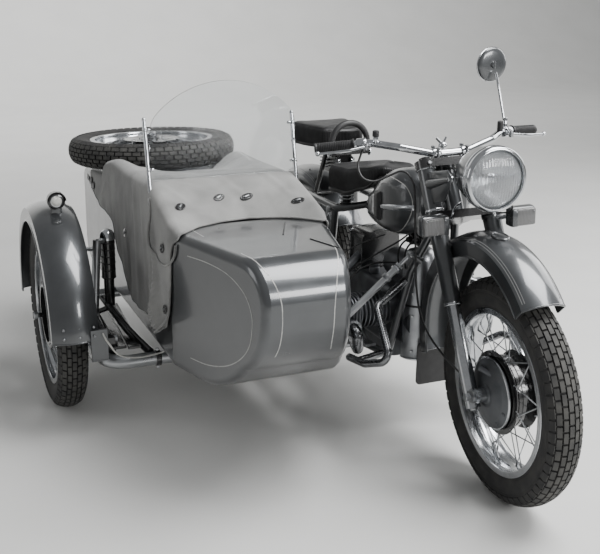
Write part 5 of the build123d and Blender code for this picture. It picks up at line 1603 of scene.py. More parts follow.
@dataclass
class ChassisDetail:
    """Clamps, nuts, boards and the diagonal tube of the sidecar's chassis, with its struts and damper."""

    def build(self) -> None:
        """Build the fittings on the chassis."""
        fit = Piece("chassis_fittings", "machine", [Shade.STEEL, Shade.FRAME, Shade.CHROME], "steel")
        for x in (-860.0, -742.0, -470.0):
            ring = lathe([(24.5, -9), (27.5, -9), (28.5, -7), (28.5, 7), (27.5, 9), (24.5, 9)], 32, closed=True)
            fit.take(ring, Shade.FRAME, place_at(x, -640, 270))
            for dz in (34.0, -34.0):
                fit.take(bolt(at(x, -640, 270 + dz * 0.82), Vector((0, 0, math.copysign(1, dz))), 13, 8), Shade.STEEL)
        for y in (-520.0, -140.0, 60.0):
            ring = lathe([(24.5, -8), (27.0, -8), (27.0, 8), (24.5, 8)], 32, closed=True)
            fit.take(ring, Shade.FRAME, place_at(-1035, y, 270) @ X_TO_REAR)
        route = [at(-962, -250, 384), at(-944, -400, 356), at(-927, -521, 330), at(-883, -632, 292)]
        fit.take(bent(route, 30.0, 16), Shade.FRAME)
        for start, end in (((-959, -180), (-981, -600)), ((-906, -110), (-933, -616))):
            a, b = at(*start, 309), at(*end, 309)
            board = brick((46.0, (b - a).length * 1000, 10.0), 2.0, 1)
            turn = Matrix.Rotation(-math.atan2((a - b).x, (a - b).y), 4, "Z")
            fit.take(board, Shade.FRAME, Matrix.Translation((a + b) / 2) @ turn)
        self.strut(fit, (-92, -1036, 664), (-338, -1000, 438))
        self.strut(fit, (-124, -440, 694), (-318, -262, 278))
        cap = lathe([(0, 30), (10, 29), (19, 24), (25, 15), (27.2, 4), (27.8, 0), (27.8, -6), (26.2, -6)], 40)
        low, high = at(-950, -304, 364), at(-950, -322, 640)
        along = (high - low).normalized()
        fit.take(cap, Shade.CHROME, aim(high - along * mm(5), high + along) @ X_TO_UP)
        for up in (120, 150, 176, 202, 228, 254):
            spot = low + along * mm(up)
            ring = lathe([(25.8, -3), (27.6, 0), (25.8, 3)], 32)
            fit.take(ring, Shade.FRAME, onto(spot, along))
        for y, z in ((-648.0, 410.0), (-655.0, 380.0)):
            for x in (-1178.0, -1127.0, -1078.0):
                fit.take(ball(5.0, at(x, y - 14, z + 8), 10), Shade.STEEL)
        for side in (-1, 1):
            fit.take(bolt(at(-1012 + side * 20, -560, 332), Vector((side, 0, 0)), 24, 12), Shade.STEEL)
        fit.take(bolt(at(-1181 - 26, -253, 348), Vector((-1, 0, 0)), 32, 14), Shade.STEEL)
        fit.done()

    def strut(self, fit: Piece, start: Spot, end: Spot) -> None:
        """Put the thread, lock nuts, clamp ring, eye bolt and side rod on one strut.

        Args:
            fit: The piece that takes them.
            start: The strut's upper end in machine millimetres.
            end: Its lower end.
        """
        a, b = at(*start), at(*end)
        along = (b - a).normalized()
        for step in range(9):
            spot = a + along * mm(18 + step * 4.0)
            fit.take(rod(spot, spot + along * mm(2.0), 15.4, 14.0, 14), Shade.CHROME)
        for distance, across in ((55.0, 27.0), (64.0, 27.0)):
            fit.take(bolt(a + along * mm(distance), along, across, 7.0), Shade.CHROME)
        ring = lathe([(11.6, -8), (16.0, -8), (17.0, -6), (17.0, 6), (16.0, 8), (11.6, 8)], 24, closed=True)
        spot = a + along * mm(112)
        fit.take(ring, Shade.STEEL, onto(spot, along))
        fit.take(bolt(a, Vector((0, -1, 0.2)), 19, 16), Shade.STEEL)
        side = along.cross(UP).normalized() * mm(17)
        fit.take(rod(a + along * mm(120) + side, b - along * mm(60) + side, 5.0, sides=8), Shade.STEEL)
        for distance in (128.0, (b - a).length * 1000 - 66.0):
            spot = a + along * mm(distance)
            fit.take(rod(spot, spot + side * 1.25, 8.0, sides=8), Shade.STEEL)


@dataclass
class ScreenDetail:
    """Clamps and knobs on the windscreen's posts."""

    def build(self) -> None:
        """Build the end balls, clamps and foot collars."""
        fit = Piece("windscreen_fittings", "machine", [Shade.CHROME, Shade.RUBBER], "chrome")
        for side in (-1, 1):
            x = TUB_X + side * 258.5
            low, high = at(x, -679, 816), at(x, -621, 1092)
            along = (high - low).normalized()
            fit.take(ball(7.4, high, 14), Shade.CHROME)
            for share in (0.42, 0.88):
                spot = low + (high - low) * share
                fit.take(rod(spot - along * mm(6), spot + along * mm(6), 15.0, sides=20, round_mm=1.0), Shade.CHROME)
                fit.take(brick((16.0, 7.0, 9.0), 1.5, 2), Shade.CHROME, Matrix.Translation(spot - off(side * 11, 0, 0)))
            spot = low + along * mm(18)
            fit.take(rod(spot - along * mm(12), spot + along * mm(12), 22.0, 18.0, 20, 2.0), Shade.CHROME)
        fit.done()


# Steered group


@dataclass
class Headlamp:
    """Large round headlamp: enamelled bowl, double chromed rim, silvered reflector, bulb and fluted glass."""

    centre: Spot = (0.0, -1405.0, 973.0)

    def build(self) -> None:
        """Build the lamp."""
        place = steer_turn() @ place_at(*self.centre) @ X_TO_REAR
        lamp = Piece("headlamp_bowl", "steering", [Shade.LAMP_SHELL, Shade.CHROME, Shade.WHITE_LENS, Shade.MIRROR],
                     "lamp", place)
        lamp.take(lathe([(0, 160), (20, 159), (42, 152), (60, 139), (74, 118), (84, 92), (89, 66), (91.5, 44), (92, 30),
                         (88, 30), (87, 44), (78, 92), (56, 128), (0, 146)], 72),
                  Shade.LAMP_SHELL)
        rim = [(90, 40), (94.5, 38), (97.5, 33), (98, 26), (97, 22.5), (95.8, 21), (97, 19.5), (98.4, 16), (98.6, 9),
               (97.4, 2), (94.6, -3), (91, -5.4), (87.6, -5.2), (85.6, -2), (85.4, 4), (88, 10), (88, 40)]
        lamp.take(lathe(rim, 96, closed=True), Shade.CHROME)
        lamp.take(lathe([(86, 8), (80, 22), (68, 42), (52, 60), (34, 73), (14, 80), (0, 81), (0, 84), (14, 83),
                         (36, 76), (54, 63), (70, 45), (84, 22), (88, 8)], 72), Shade.MIRROR)
        lamp.take(lathe([(0, 34), (6, 35), (10, 40), (11, 47), (8, 56), (6, 60), (6, 80), (0, 80)], 24),
                  Shade.WHITE_LENS)
        lamp.take(lathe([(0, 30), (13, 34), (14, 33), (0, 28)], 24), Shade.CHROME)
        tail = brick((9, 10, 14), 2.0, 2)
        lamp.take(tail, Shade.CHROME, Matrix.Translation((mm(14), 0, mm(-100))))
        lamp.take(bolt(off(10, 0, -106), Vector((-1, 0, 0)), 8, 5), Shade.CHROME)
        lamp.done(["headlamp"])
        glass = Piece("headlamp_glass", "steering", [Shade.GLASS], "clear", place)
        glass.take(lathe([(0, -13.5), (22, -12.6), (44, -9.6), (62, -5.2), (76, 0), (84.5, 5), (84.5, 9), (74, 4.6),
                          (60, -0.8), (42, -5.4), (22, -8.4), (0, -9.3)], 72))
        glass.done(["headlamp_lens"], smooth_deg=60.0)
        side = Piece("headlamp_fittings", "steering", [Shade.CHROME, Shade.STEEL, Shade.RUBBER], "chrome", steer_turn())
        for sign in (-1, 1):
            spot = at(sign * 96, -1313, 967)
            side.take(bolt(spot + off(sign * 8, 0, 0), Vector((sign, 0, 0)), 15, 8), Shade.CHROME)
            side.take(rod(spot + off(sign * 2, 0, 0), spot + off(sign * 9, 0, 0), 24, sides=20, round_mm=1.0),
                      Shade.CHROME)
            wire = [at(sign * 60, -1300, 890), at(sign * 92, -1316, 884), at(sign * 104, -1330, 862),
                    at(sign * 96, -1300, 838), at(sign * 70, -1250, 836)]
            side.take(bent([Vector(p) for p in wire], 6.0, 10), Shade.CHROME if sign < 0 else Shade.RUBBER)
        side.take(rod(at(0, -1262, 960), at(0, -1240, 905), 20, 16, 16), Shade.RUBBER)
        side.done()


@dataclass
class ForkPanels:
    """Pressed ear panels between the fork's upper covers and the headlamp, and the fender's bare medallion."""

    def panel(self, part: Piece, side: int) -> None:
        """Build one panel as a rounded plate.

        Args:
            part: The piece that takes it.
            side: -1 on the machine's right, 1 on its left.
        """
        corners = [fork_at(side * 102, 30, 702), fork_at(side * 102, 66, 702), at(side * 103, -1296, 992),
                   at(side * 103, -1322, 980), at(side * 103, -1318, 950),
                   at(side * 102, -1276, 890), fork_at(side * 102, 74, 600), fork_at(side * 102, 40, 586)]
        mesh = bmesh.new()
        face = bmesh.ops.contextual_create(mesh, geom=[mesh.verts.new(c) for c in corners])["faces"][0]
        raised = bmesh.ops.extrude_face_region(mesh, geom=[face])["geom"]
        bmesh.ops.translate(mesh, vec=(mm(side * 5), 0, 0), verts=verts_of(raised))
        bmesh.ops.recalc_face_normals(mesh, faces=mesh.faces)
        soften(mesh, [e for e in mesh.edges if e.calc_face_angle(0.0) > 0.2], 1.6, 2)
        part.take(mesh, Shade.BODY)

    def build(self) -> None:
        """Build both panels and the medallion."""
        part = Piece("fork_panels", "steering", [Shade.BODY, Shade.CHROME], "paint", steer_turn())
        for side in (-1, 1):
            self.panel(part, side)
        disc = lathe([(0, 3.4), (14, 3.0), (19, 1.6), (20, 3.2), (22.5, 3.4), (24, 1.4), (24, -2), (0, -2)], 48)
        lean = Matrix.Rotation(math.radians(4.0), 4, "X")
        place = place_at(0, -1432, 810.4) @ lean @ Matrix.Diagonal((1.0, 1.5, 1.0, 1.0)) @ X_TO_UP
        part.take(disc, Shade.BODY, place)
        for side in (-1, 1):
            part.take(bolt(fork_at(side * 70, LEG_AHEAD, 470) + off(-side * 2, -8, 2), Vector((0, -1, 0)), 11, 6),
                      Shade.CHROME)
        part.done()


@dataclass
class TurnSignals:
    """Rectangular front turn lamps: dark shells with pale lenses."""

    def build(self) -> None:
        """Build both lamps."""
        lamps = Piece("turn_signal_lamps", "steering", [Shade.LAMP_SHELL, Shade.TINTED_LENS, Shade.CHROME], "lamp",
                      steer_turn())
        for side in (-1, 1):
            centre = at(side * 150, -1296, 826)
            lamps.take(brick((88, 36, 62), 9.0, 4), Shade.LAMP_SHELL, Matrix.Translation(centre + off(0, 6, 0)))
            lamps.take(brick((80, 18, 54), 7.0, 4), Shade.TINTED_LENS, Matrix.Translation(centre + off(0, -14, 0)))
            lamps.take(brick((20, 20.5, 56), 3.0, 2), Shade.LAMP_SHELL,
                       Matrix.Translation(centre + off(-side * 33, -13.2, 0)))
            for x in (-30, 30):
                lamps.take(ball(3.0, centre + off(x, -23.4, 20), 8), Shade.CHROME)
            start = fork_at(side * 99, LEG_AHEAD + 26, 532)
            end = centre + off(-side * 20, 16, 0)
            lamps.take(rod(start, end, 15, sides=16), Shade.CHROME)
            lamps.take(bolt(centre + off(side * 10, 24, 0), REAR, 14, 8), Shade.CHROME)
        lamps.done(["turn_signals"])


@dataclass
class Controls:
    """Grips, levers, switches, damper knob and clamps of the handlebar."""

    def lever(self, part: Piece, side: int) -> None:
        """Build the ribbed grip, the clamp and the lever of one side.

        Args:
            part: The piece that takes them.
            side: -1 on the machine's right, 1 on its left.
        """
        inner, outer = at(side * 232, -1012, 1040), at(side * 392, -945, 1025)
        along = (outer - inner).normalized()
        turn = aim(outer - along * mm(122), outer) @ X_TO_UP
        ribs = [(12.2, 0), (19.0, 0), (19.6, 3), (19.0, 6)]
        for step in range(20):
            x = 8 + step * 5.6
            ribs += [(15.4, x), (17.0, x + 1.2), (17.0, x + 3.2), (15.4, x + 4.4)]
        ribs += [(16.6, 121), (17.2, 124), (16.4, 127), (12.0, 128.4), (0.0, 128.6)]
        part.take(lathe(ribs, 28), Shade.RUBBER, turn)
        low, high = inner + along * mm(14), inner + along * mm(46)
        part.take(rod(low, high, 37, sides=28, round_mm=3.0), Shade.CHROME)
        for place in (low + along * mm(6), high - along * mm(6)):
            part.take(bolt(place + off(0, 15, 6), Vector((0, 1, 0.3)), 9, 6), Shade.STEEL)
        mid = inner + along * mm(28)
        root = mid + off(0, -34, -4)
        part.take(rod(mid + off(0, -10, 0), root, 20, 18, 20, 1.5), Shade.CHROME)
        part.take(rod(root + off(0, 0, -10), root + off(0, 0, 11), 15, sides=20, round_mm=1.5), Shade.STEEL)
        tip = outer + off(side * 14, -50, -8)
        bend = root + along * mm(70) + off(0, -22, -4)
        route = [root, root + (bend - root) * 0.5, bend, bend + (tip - bend) * 0.5, tip]
        part.take(bent(route, 12.0, 16, [0.95, 1.05, 1.0, 0.8, 0.62]), Shade.CHROME)
        part.take(ball(8.0, tip, 20), Shade.CHROME)

    def build(self) -> None:
        """Build both sides, the switches, the damper knob and the bar's clamps."""
        part = Piece("bar_controls", "steering", [Shade.CHROME, Shade.RUBBER, Shade.STEEL], "steel", steer_turn())
        for side in (-1, 1):
            self.lever(part, side)
        part.take(rod(at(-224, -1030, 1042), at(-224, -1032, 1066), 17, sides=20, round_mm=2.0), Shade.CHROME)
        part.take(rod(at(-224, -1032, 1062), at(-224, -1034, 1082), 22, 21, 24, 3.0), Shade.RUBBER)
        part.take(rod(at(222, -1024, 1044), at(221, -1028, 1078), 20, sides=20, round_mm=3.0), Shade.RUBBER)
        part.done(["hand_controls"])
        knob = Piece("steering_damper_knob", "steering", [Shade.CHROME, Shade.RUBBER, Shade.STEEL], "chrome",
                     steer_turn())
        foot = fork_at(0, 0, 752)
        knob.take(rod(foot, foot + STEER_AXIS * mm(14), 40, 36, 6, 2.0), Shade.CHROME)
        knob.take(rod(foot, foot + STEER_AXIS * mm(52), 11, sides=16), Shade.STEEL)
        knob.take(rod(foot + STEER_AXIS * mm(44), foot + STEER_AXIS * mm(58), 30, 26, 24, 3.0), Shade.CHROME)
        for sign in (-1, 1):
            tip = foot + STEER_AXIS * mm(76) + off(sign * 17, 0, 0)
            knob.take(bent([foot + STEER_AXIS * mm(54), foot + STEER_AXIS * mm(66) + off(sign * 10, 0, 0), tip], 9.0,
                           12, [1.2, 0.9, 0.9]), Shade.CHROME)
        for sign in (-1, 1):
            spot = at(sign * 50, -1104, 1006)
            knob.take(rod(spot + off(-14, 0, 0), spot + off(14, 0, 0), 35, sides=28, round_mm=2.0), Shade.CHROME)
            for dy in (-19, 19):
                knob.take(rod(spot + off(0, dy, -22), spot + off(0, dy, 20), 8.0, sides=12), Shade.STEEL)
                knob.take(bolt(spot + off(0, dy, 14), UP, 13, 8), Shade.STEEL)
            nut = fork_at(sign * LEG_X, LEG_AHEAD, 742)
            knob.take(bolt(nut, STEER_AXIS, 34, 12), Shade.CHROME)
        knob.done()


@dataclass
class RoundMirror:
    """Round driving mirror on a straight chromed stem."""

    def build(self) -> None:
        """Build the mirror."""
        part = Piece("round_mirror", "steering", [Shade.CHROME, Shade.LAMP_SHELL, Shade.STEEL], "chrome", steer_turn())
        foot, head, face = at(254, -1002, 1050), at(240, -966, 1206), at(236, -944, 1252)
        part.take(bent([foot, foot.lerp(head, 0.5), head, head.lerp(face, 0.45)], 9.0, 16), Shade.CHROME)
        part.take(rod(foot + off(0, 0, -4), foot + off(-1, 2, 26), 17, 14, 20, 2.0), Shade.CHROME)
        part.take(bolt(foot + off(0, 0, 24), Vector((0, 0.1, 1)), 15, 9), Shade.CHROME)
        look = Vector((-0.1, 1, 0.05)).normalized()
        place = onto(face, look)
        back = [(0, -1), (20, -0.6), (40, 1.2), (52, 4.2), (56, 8), (56.5, 11), (55.4, 13), (53.6, 13), (53.6, 10.4),
                (0, 10.4)]
        part.take(lathe(back, 56), Shade.LAMP_SHELL, place)
        part.take(lathe([(0, 11.2), (53.0, 11.2), (53.0, 10.6), (0, 10.6)], 56), Shade.CHROME, place)
        part.take(lathe([(55.0, 9.2), (57.6, 10.0), (57.8, 12.4), (56.0, 13.8), (54.0, 13.2), (53.4, 11.4)], 56,
                        closed=True), Shade.CHROME, place)
        part.take(lathe([(0, -9), (9, -8.6), (11, -6), (12, -1), (0, -1)], 28), Shade.LAMP_SHELL, place)
        part.take(rod(place @ off(-8, -13, 0), place @ off(-8, 13, 0), 6, sides=12), Shade.STEEL)
        part.done(["mirror"])


@dataclass
class ForkDetail:
    """Clamp bolts, seals and axle nuts of the fork, and the drum's brake plate."""

    # Place along the steering axis, diameter, height and finish of each collar on a leg.
    COLLARS = ((282, 55.5, 8, Shade.CHROME), (288, 54.4, 5, Shade.BODY), (538, 62.5, 10, Shade.BODY),
               (576, 60, 8, Shade.CHROME), (712, 60, 6, Shade.CHROME))

    def build(self) -> None:
        """Build the small pieces of the fork."""
        turn = steer_turn()
        part = Piece("fork_fittings", "steering", [Shade.CHROME, Shade.STEEL, Shade.BODY, Shade.RUBBER], "steel", turn)
        for side in (-1, 1):
            x = side * LEG_X
            for up, dia, high, shade in self.COLLARS:
                r = dia / 2
                ring = [(r - 4, 0), (r, 0), (r + 0.8, 1.2), (r + 0.8, high - 1.2), (r, high), (r - 4, high)]
                part.take(lathe(ring, 40, closed=True), shade, onto(fork_at(x, LEG_AHEAD, up), STEER_AXIS))
            for up in (-14, 14):
                part.take(bolt(fork_at(x + side * 14, 72, up), Vector((side, 0, 0)), 13, 8), Shade.STEEL)
            part.take(bolt(fork_at(x + side * 32, 94, 0), Vector((side, 0, 0)), 27, 15), Shade.STEEL)
            part.take(rod(fork_at(x + side * 20, 94, 0), fork_at(x + side * 26, 94, 0), 38, sides=28, round_mm=1.0),
                      Shade.STEEL)
            part.take(rod(fork_at(x, LEG_AHEAD, -34), fork_at(x, LEG_AHEAD, -42), 26, 20, 24, 2.0), Shade.STEEL)
            for up in (558, 728):
                part.take(bolt(fork_at(x + side * 2, LEG_AHEAD + 31, up), fork_at(0, 1, 0) - fork_at(0, 0, 0), 13, 9),
                          Shade.STEEL)
        part.done()
        self.plate(turn)

    def plate(self, turn: Matrix) -> None:
        """Build the rim, hub ring, dome, bosses and arm pivots of the brake plate.

        Args:
            turn: The move to the pose at rest.
        """
        part = Piece("brake_plate_fittings", "steering", [Shade.DRUM, Shade.STEEL, Shade.RIM], "alloy", turn)
        axle = place_at(0, -WHEELBASE, WHEEL_R)
        part.take(lathe([(104, -55.5), (107, -57.0), (110, -56.0), (111.4, -53), (110, -50), (104, -50)], 72,
                        closed=True), Shade.RIM, axle)
        part.take(lathe([(16, -74), (18, -77), (26, -77), (30, -74), (31, -70), (16, -70)], 40, closed=True),
                  Shade.DRUM, axle)
        dome = [(20, -74), (34, -73.2), (52, -70.4), (70, -66.4), (86, -61.6), (97, -57.6), (104, -54.5), (104, -50),
                (20, -60)]
        part.take(lathe(dome, 72, closed=True), Shade.DRUM, axle)
        for angle in (200, 236):
            a = math.radians(angle)
            spot = Vector((mm(-57), mm(92) * math.cos(a), mm(92) * math.sin(a)))
            part.take(rod(axle @ spot, axle @ (spot + off(-7, 0, 0)), 15, 12, 20, 2.0), Shade.DRUM)
        pivot = axle @ off(-60, 50, -6)
        part.take(rod(pivot, pivot + off(-22, 0, 0), 22, 18, 24, 2.0), Shade.STEEL)
        part.take(bolt(pivot + off(-20, 0, 0), Vector((-1, 0, 0)), 14, 7), Shade.STEEL)
        end = at(-68, -1408, 318)
        part.take(rod(end + off(-9, 0, 0), end + off(9, 0, 0), 13, sides=16, round_mm=1.0), Shade.STEEL)
        part.done()


# Saddles, tank and engine


@dataclass
class RubberSaddle:
    """Pear-shaped moulded rubber saddle with a rolled lower edge and upright side ribs.

    Attributes:
        name: The piece's name.
        node: The CAD node that it replaces.
        front_y: Its front end.
        rear_y: Its rear end.
        rows: Share of the length, half width, lower and upper height.
        count: Points round its outline.
        rib: Height of the side ribs.
    """

    name: str
    node: str
    front_y: float
    rear_y: float
    rows: Sequence[tuple[float, ...]]
    count: int = 320
    rib: float = 2.2

    RINGS = ((0.55, 0.12), (0.25, 0.06), (0.06, 0.0), (0.015, -0.01), (-0.012, 0.03), (-0.014, 0.07), (0.0, 0.11),
             (0.03, 0.14), (0.02, 0.2), (0.005, 0.3),
             (0.0, 0.42), (0.0, 0.56), (0.006, 0.68), (0.02, 0.79), (0.05, 0.885), (0.095, 0.95), (0.16, 0.988),
             (0.26, 1.0), (0.42, 1.004), (0.6, 1.0), (0.8, 0.99))

    def read(self, share: float, column: int) -> float:
        """Read one column of the rows, with soft steps between them.

        Args:
            share: Share of the saddle's length.
            column: The column's number.

        Returns:
            The value in millimetres.
        """
        rows = self.rows
        if share <= rows[0][0]:
            return rows[0][column]
        for before, after in zip(rows, rows[1:]):
            if share <= after[0]:
                t = (share - before[0]) / (after[0] - before[0])
                t = t * t * (3 - 2 * t) * 0.6 + t * 0.4
                return before[column] + (after[column] - before[column]) * t
        return rows[-1][column]

    def half(self, share: float) -> float:
        """Give the plan's half width, rounded at both ends.

        Args:
            share: Share of the saddle's length.

        Returns:
            The half width in millimetres.
        """
        front = math.sqrt(max(0.0, 1 - (1 - min(share / 0.13, 1.0)) ** 2))
        rear = math.sqrt(max(0.0, 1 - max(0.0, (share - 0.8) / 0.2) ** 2.6))
        return self.read(share, 1) * front * rear

    def outline(self) -> list[Pair]:
        """Space points evenly round the plan.

        Returns:
            The points as (x, share of the length).
        """
        length = self.rear_y - self.front_y
        shares = [0.5 - 0.5 * math.cos(math.pi * i / 400) for i in range(401)]
        path = [(-self.half(s), s) for s in shares] + [(self.half(s), s) for s in reversed(shares[1:-1])]
        runs = [math.hypot(b[0] - a[0], (b[1] - a[1]) * length) for a, b in zip(path, path[1:] + path[:1])]
        total = sum(runs)
        points, index, passed = [], 0, 0.0
        for number in range(self.count):
            place = total * number / self.count
            while passed + runs[index] < place:
                passed += runs[index]
                index += 1
            a, b = path[index], path[(index + 1) % len(path)]
            t = (place - passed) / max(runs[index], 1e-9)
            points.append((a[0] + (b[0] - a[0]) * t, a[1] + (b[1] - a[1]) * t))
        return points

    def build(self) -> None:
        plan = self.outline()
        rings = []
        for number, (inset, level) in enumerate(self.RINGS):
            ring = []
            ribbed = 7 <= number <= 14
            for index, (x, share) in enumerate(plan):
                spine = min(max(share, 0.3), 0.68)
                k = 1.0 - inset
                if ribbed:
                    k += (self.rib / 130.0) * (1 if index % 2 else -1)
                s = spine + (share - spine) * k
                low, high = self.read(share, 2), self.read(share, 3)
                crown = 5.0 * (1.0 - min(1.0, abs(x) / 120.0) ** 2) if inset > 0.1 and level > 0.5 else 0.0
                ring.append(at(x * k, self.front_y + (self.rear_y - self.front_y) * s,
                               low + (high - low) * level + crown * inset))
            rings.append(ring)
        mesh = skin(rings)
        bmesh.ops.holes_fill(mesh, edges=[e for e in mesh.edges if e.is_boundary], sides=0)
        saddle = Piece(self.name, "machine", [Shade.RUBBER], "rubber", mesh=mesh)
        saddle.done([self.node], smooth_deg=50.0)


@dataclass
class SaddleDetail:
    """Coil springs, brackets and bolts below the saddles."""

    @staticmethod
    def coil(piece: Piece, low: Vector, high: Vector, dia: float, wire: float, turns: float) -> None:
        """Wind one coil spring.

        Args:
            piece: The piece that takes it.
            low: Its lower end in metres.
            high: Its upper end in metres.
            dia: Diameter at the wire's middle in millimetres.
            wire: Thickness of the wire.
            turns: Number of turns.
        """
        place = aim(low, high)
        length = (high - low).length
        points = []
        steps = int(turns * 14)
        for step in range(steps + 1):
            angle = 2 * math.pi * turns * step / steps
            points.append(place @ Vector((mm(dia) / 2 * math.cos(angle), mm(dia) / 2 * math.sin(angle),
                                          length * step / steps)))
        piece.take(bent(points, wire, 8), Shade.STEEL)

    def build(self) -> None:
        """Build the springs and small brackets."""
        part = Piece("saddle_springs", "machine", [Shade.STEEL, Shade.FRAME, Shade.CHROME], "steel")
        for side in (-1, 1):
            self.coil(part, at(side * 74, -487, 722), at(side * 74, -490, 782), 48, 6.5, 4.5)
            part.take(rod(at(side * 74, -487, 716), at(side * 74, -487, 723), 54, sides=24, round_mm=1.0), Shade.FRAME)
            self.coil(part, at(side * 40, -196, 808), at(side * 40, -196, 876), 34, 5.0, 5.0)
            part.take(rod(at(side * 22, -300, 850), at(side * 34, -300, 850), 26, sides=20, round_mm=1.0), Shade.CHROME)
            part.take(bolt(at(side * 34, -300, 850), Vector((side, 0, 0)), 15, 8), Shade.STEEL)
            part.take(bolt(at(side * 27, -200, 850), Vector((side, 0, 0)), 13, 8), Shade.STEEL)
            part.take(rod(at(side * 82, -345, 886), at(side * 88, -345, 886), 30, sides=24, round_mm=1.0), Shade.CHROME)
        part.done()


@dataclass
class SurfacePad:
    """A pad that follows a CAD node's surface.

    Attributes:
        node: The CAD node below it.
        corners: Its four corners as (y, z), in order round the pad.
        height: How far it stands off the node.
    """

    node: str
    corners: Outline
    height: float

    def build(self, piece: Piece, side: int, shade: Shade, steps: tuple[int, int]) -> None:
        """Lay the pad on one side of the node.

        Args:
            piece: The piece that takes it.
            side: -1 on the machine's right, 1 on its left.
            shade: Its finish.
            steps: Faces along and across it.
        """
        tree = BVHTree.FromObject(bpy.data.objects[self.node], bpy.context.evaluated_depsgraph_get())
        toward = Vector((-side, 0, 0))
        rings = []
        (y0, z0), (y1, z1), (y2, z2), (y3, z3) = self.corners
        for j in range(steps[1] + 1):
            v = j / steps[1]
            row = []
            for i in range(steps[0] + 1):
                u = i / steps[0]
                y = (y0 * (1 - u) + y1 * u) * (1 - v) + (y3 * (1 - u) + y2 * u) * v
                z = (z0 * (1 - u) + z1 * u) * (1 - v) + (z3 * (1 - u) + z2 * u) * v
                place, normal, _, _ = tree.ray_cast(at(side * 320, y, z), toward)
                if place is None:
                    place, normal = row[-1] if row else at(side * 130, y, z), Vector((side, 0, 0))
                if normal.x * side < 0:
                    normal = -normal
                edge = min(u, 1 - u) * steps[0], min(v, 1 - v) * steps[1]
                swell = -1.2 if min(edge) < 0.5 else self.height * (0.78 if min(edge) < 1.5 else 1.0)
                row.append(place + normal * mm(swell))
            rings.append(row)
        piece.take(skin(rings, closed=False), shade)


@dataclass
class TankDetail:
    """Knee pads, trim bars, filler cap and painted loops of the tank."""

    LOOP = ((-838, 896), (-915, 908), (-990, 906), (-1040, 886), (-1058, 838), (-1046, 782), (-1000, 738), (-930, 718),
            (-840, 712), (-770, 716))

    # Corners as (y, z), height, finish, and faces along and across of the pads and the bar on each side.
    PADS = ((((-748, 818), (-858, 846), (-862, 752), (-750, 736)), 7.0, Shade.BODY, (22, 12)),
            (((-854, 848), (-900, 852), (-904, 752), (-858, 744)), 12.0, Shade.RUBBER, (10, 18)),
            (((-880, 808), (-1066, 836), (-1068, 815), (-882, 788)), 5.0, Shade.RIM, (40, 6)))

    def build(self) -> None:
        """Build the tank's fittings and lines."""
        part = Piece("tank_fittings", "machine", [Shade.RUBBER, Shade.RIM, Shade.CHROME, Shade.FRAME, Shade.BODY],
                     "rubber")
        for side in (-1, 1):
            for corners, height, shade, steps in self.PADS:
                SurfacePad("fuel_tank", corners, height).build(part, side, shade, steps)
        cap = lathe([(0, 14), (20, 13.5), (30, 11.5), (34, 8), (36, 6), (37, 2), (37, -8), (34, -10), (0, -10)], 40)
        up = place_at(0, -1000, 952) @ X_TO_UP
        part.take(cap, Shade.FRAME, up)
        for index in range(12):
            angle = index * math.pi / 6
            part.take(ball(4.0, at(36 * math.cos(angle), -1000 + 36 * math.sin(angle), 950), 8), Shade.FRAME)
        for side in (-1, 1):
            part.take(rod(at(side * 40, -952, 742), at(side * 40, -952, 716), 16, sides=16, round_mm=1.5), Shade.CHROME)
            part.take(bent([at(side * 40, -950, 724), at(side * 60, -930, 690), at(side * 120, -880, 640),
                            at(side * 200, -800, 560), at(side * 246, -754, 500)], 7.0, 10), Shade.RUBBER)
        part.done()
        lines = Piece("tank_lining", "machine", [Shade.LINE], "paint")
        liner = Liner("fuel_tank", 3.0, 0.6)
        for side in (-1, 1):
            route = [(side * 320, y, z) for y, z, _ in smooth_route([(y, z, 0.0) for y, z in self.LOOP], 8)]
            liner.draw(lines, route, Vector((-side, 0, 0)))
        lines.done(smooth_deg=60.0, weld=LINE_WELD)


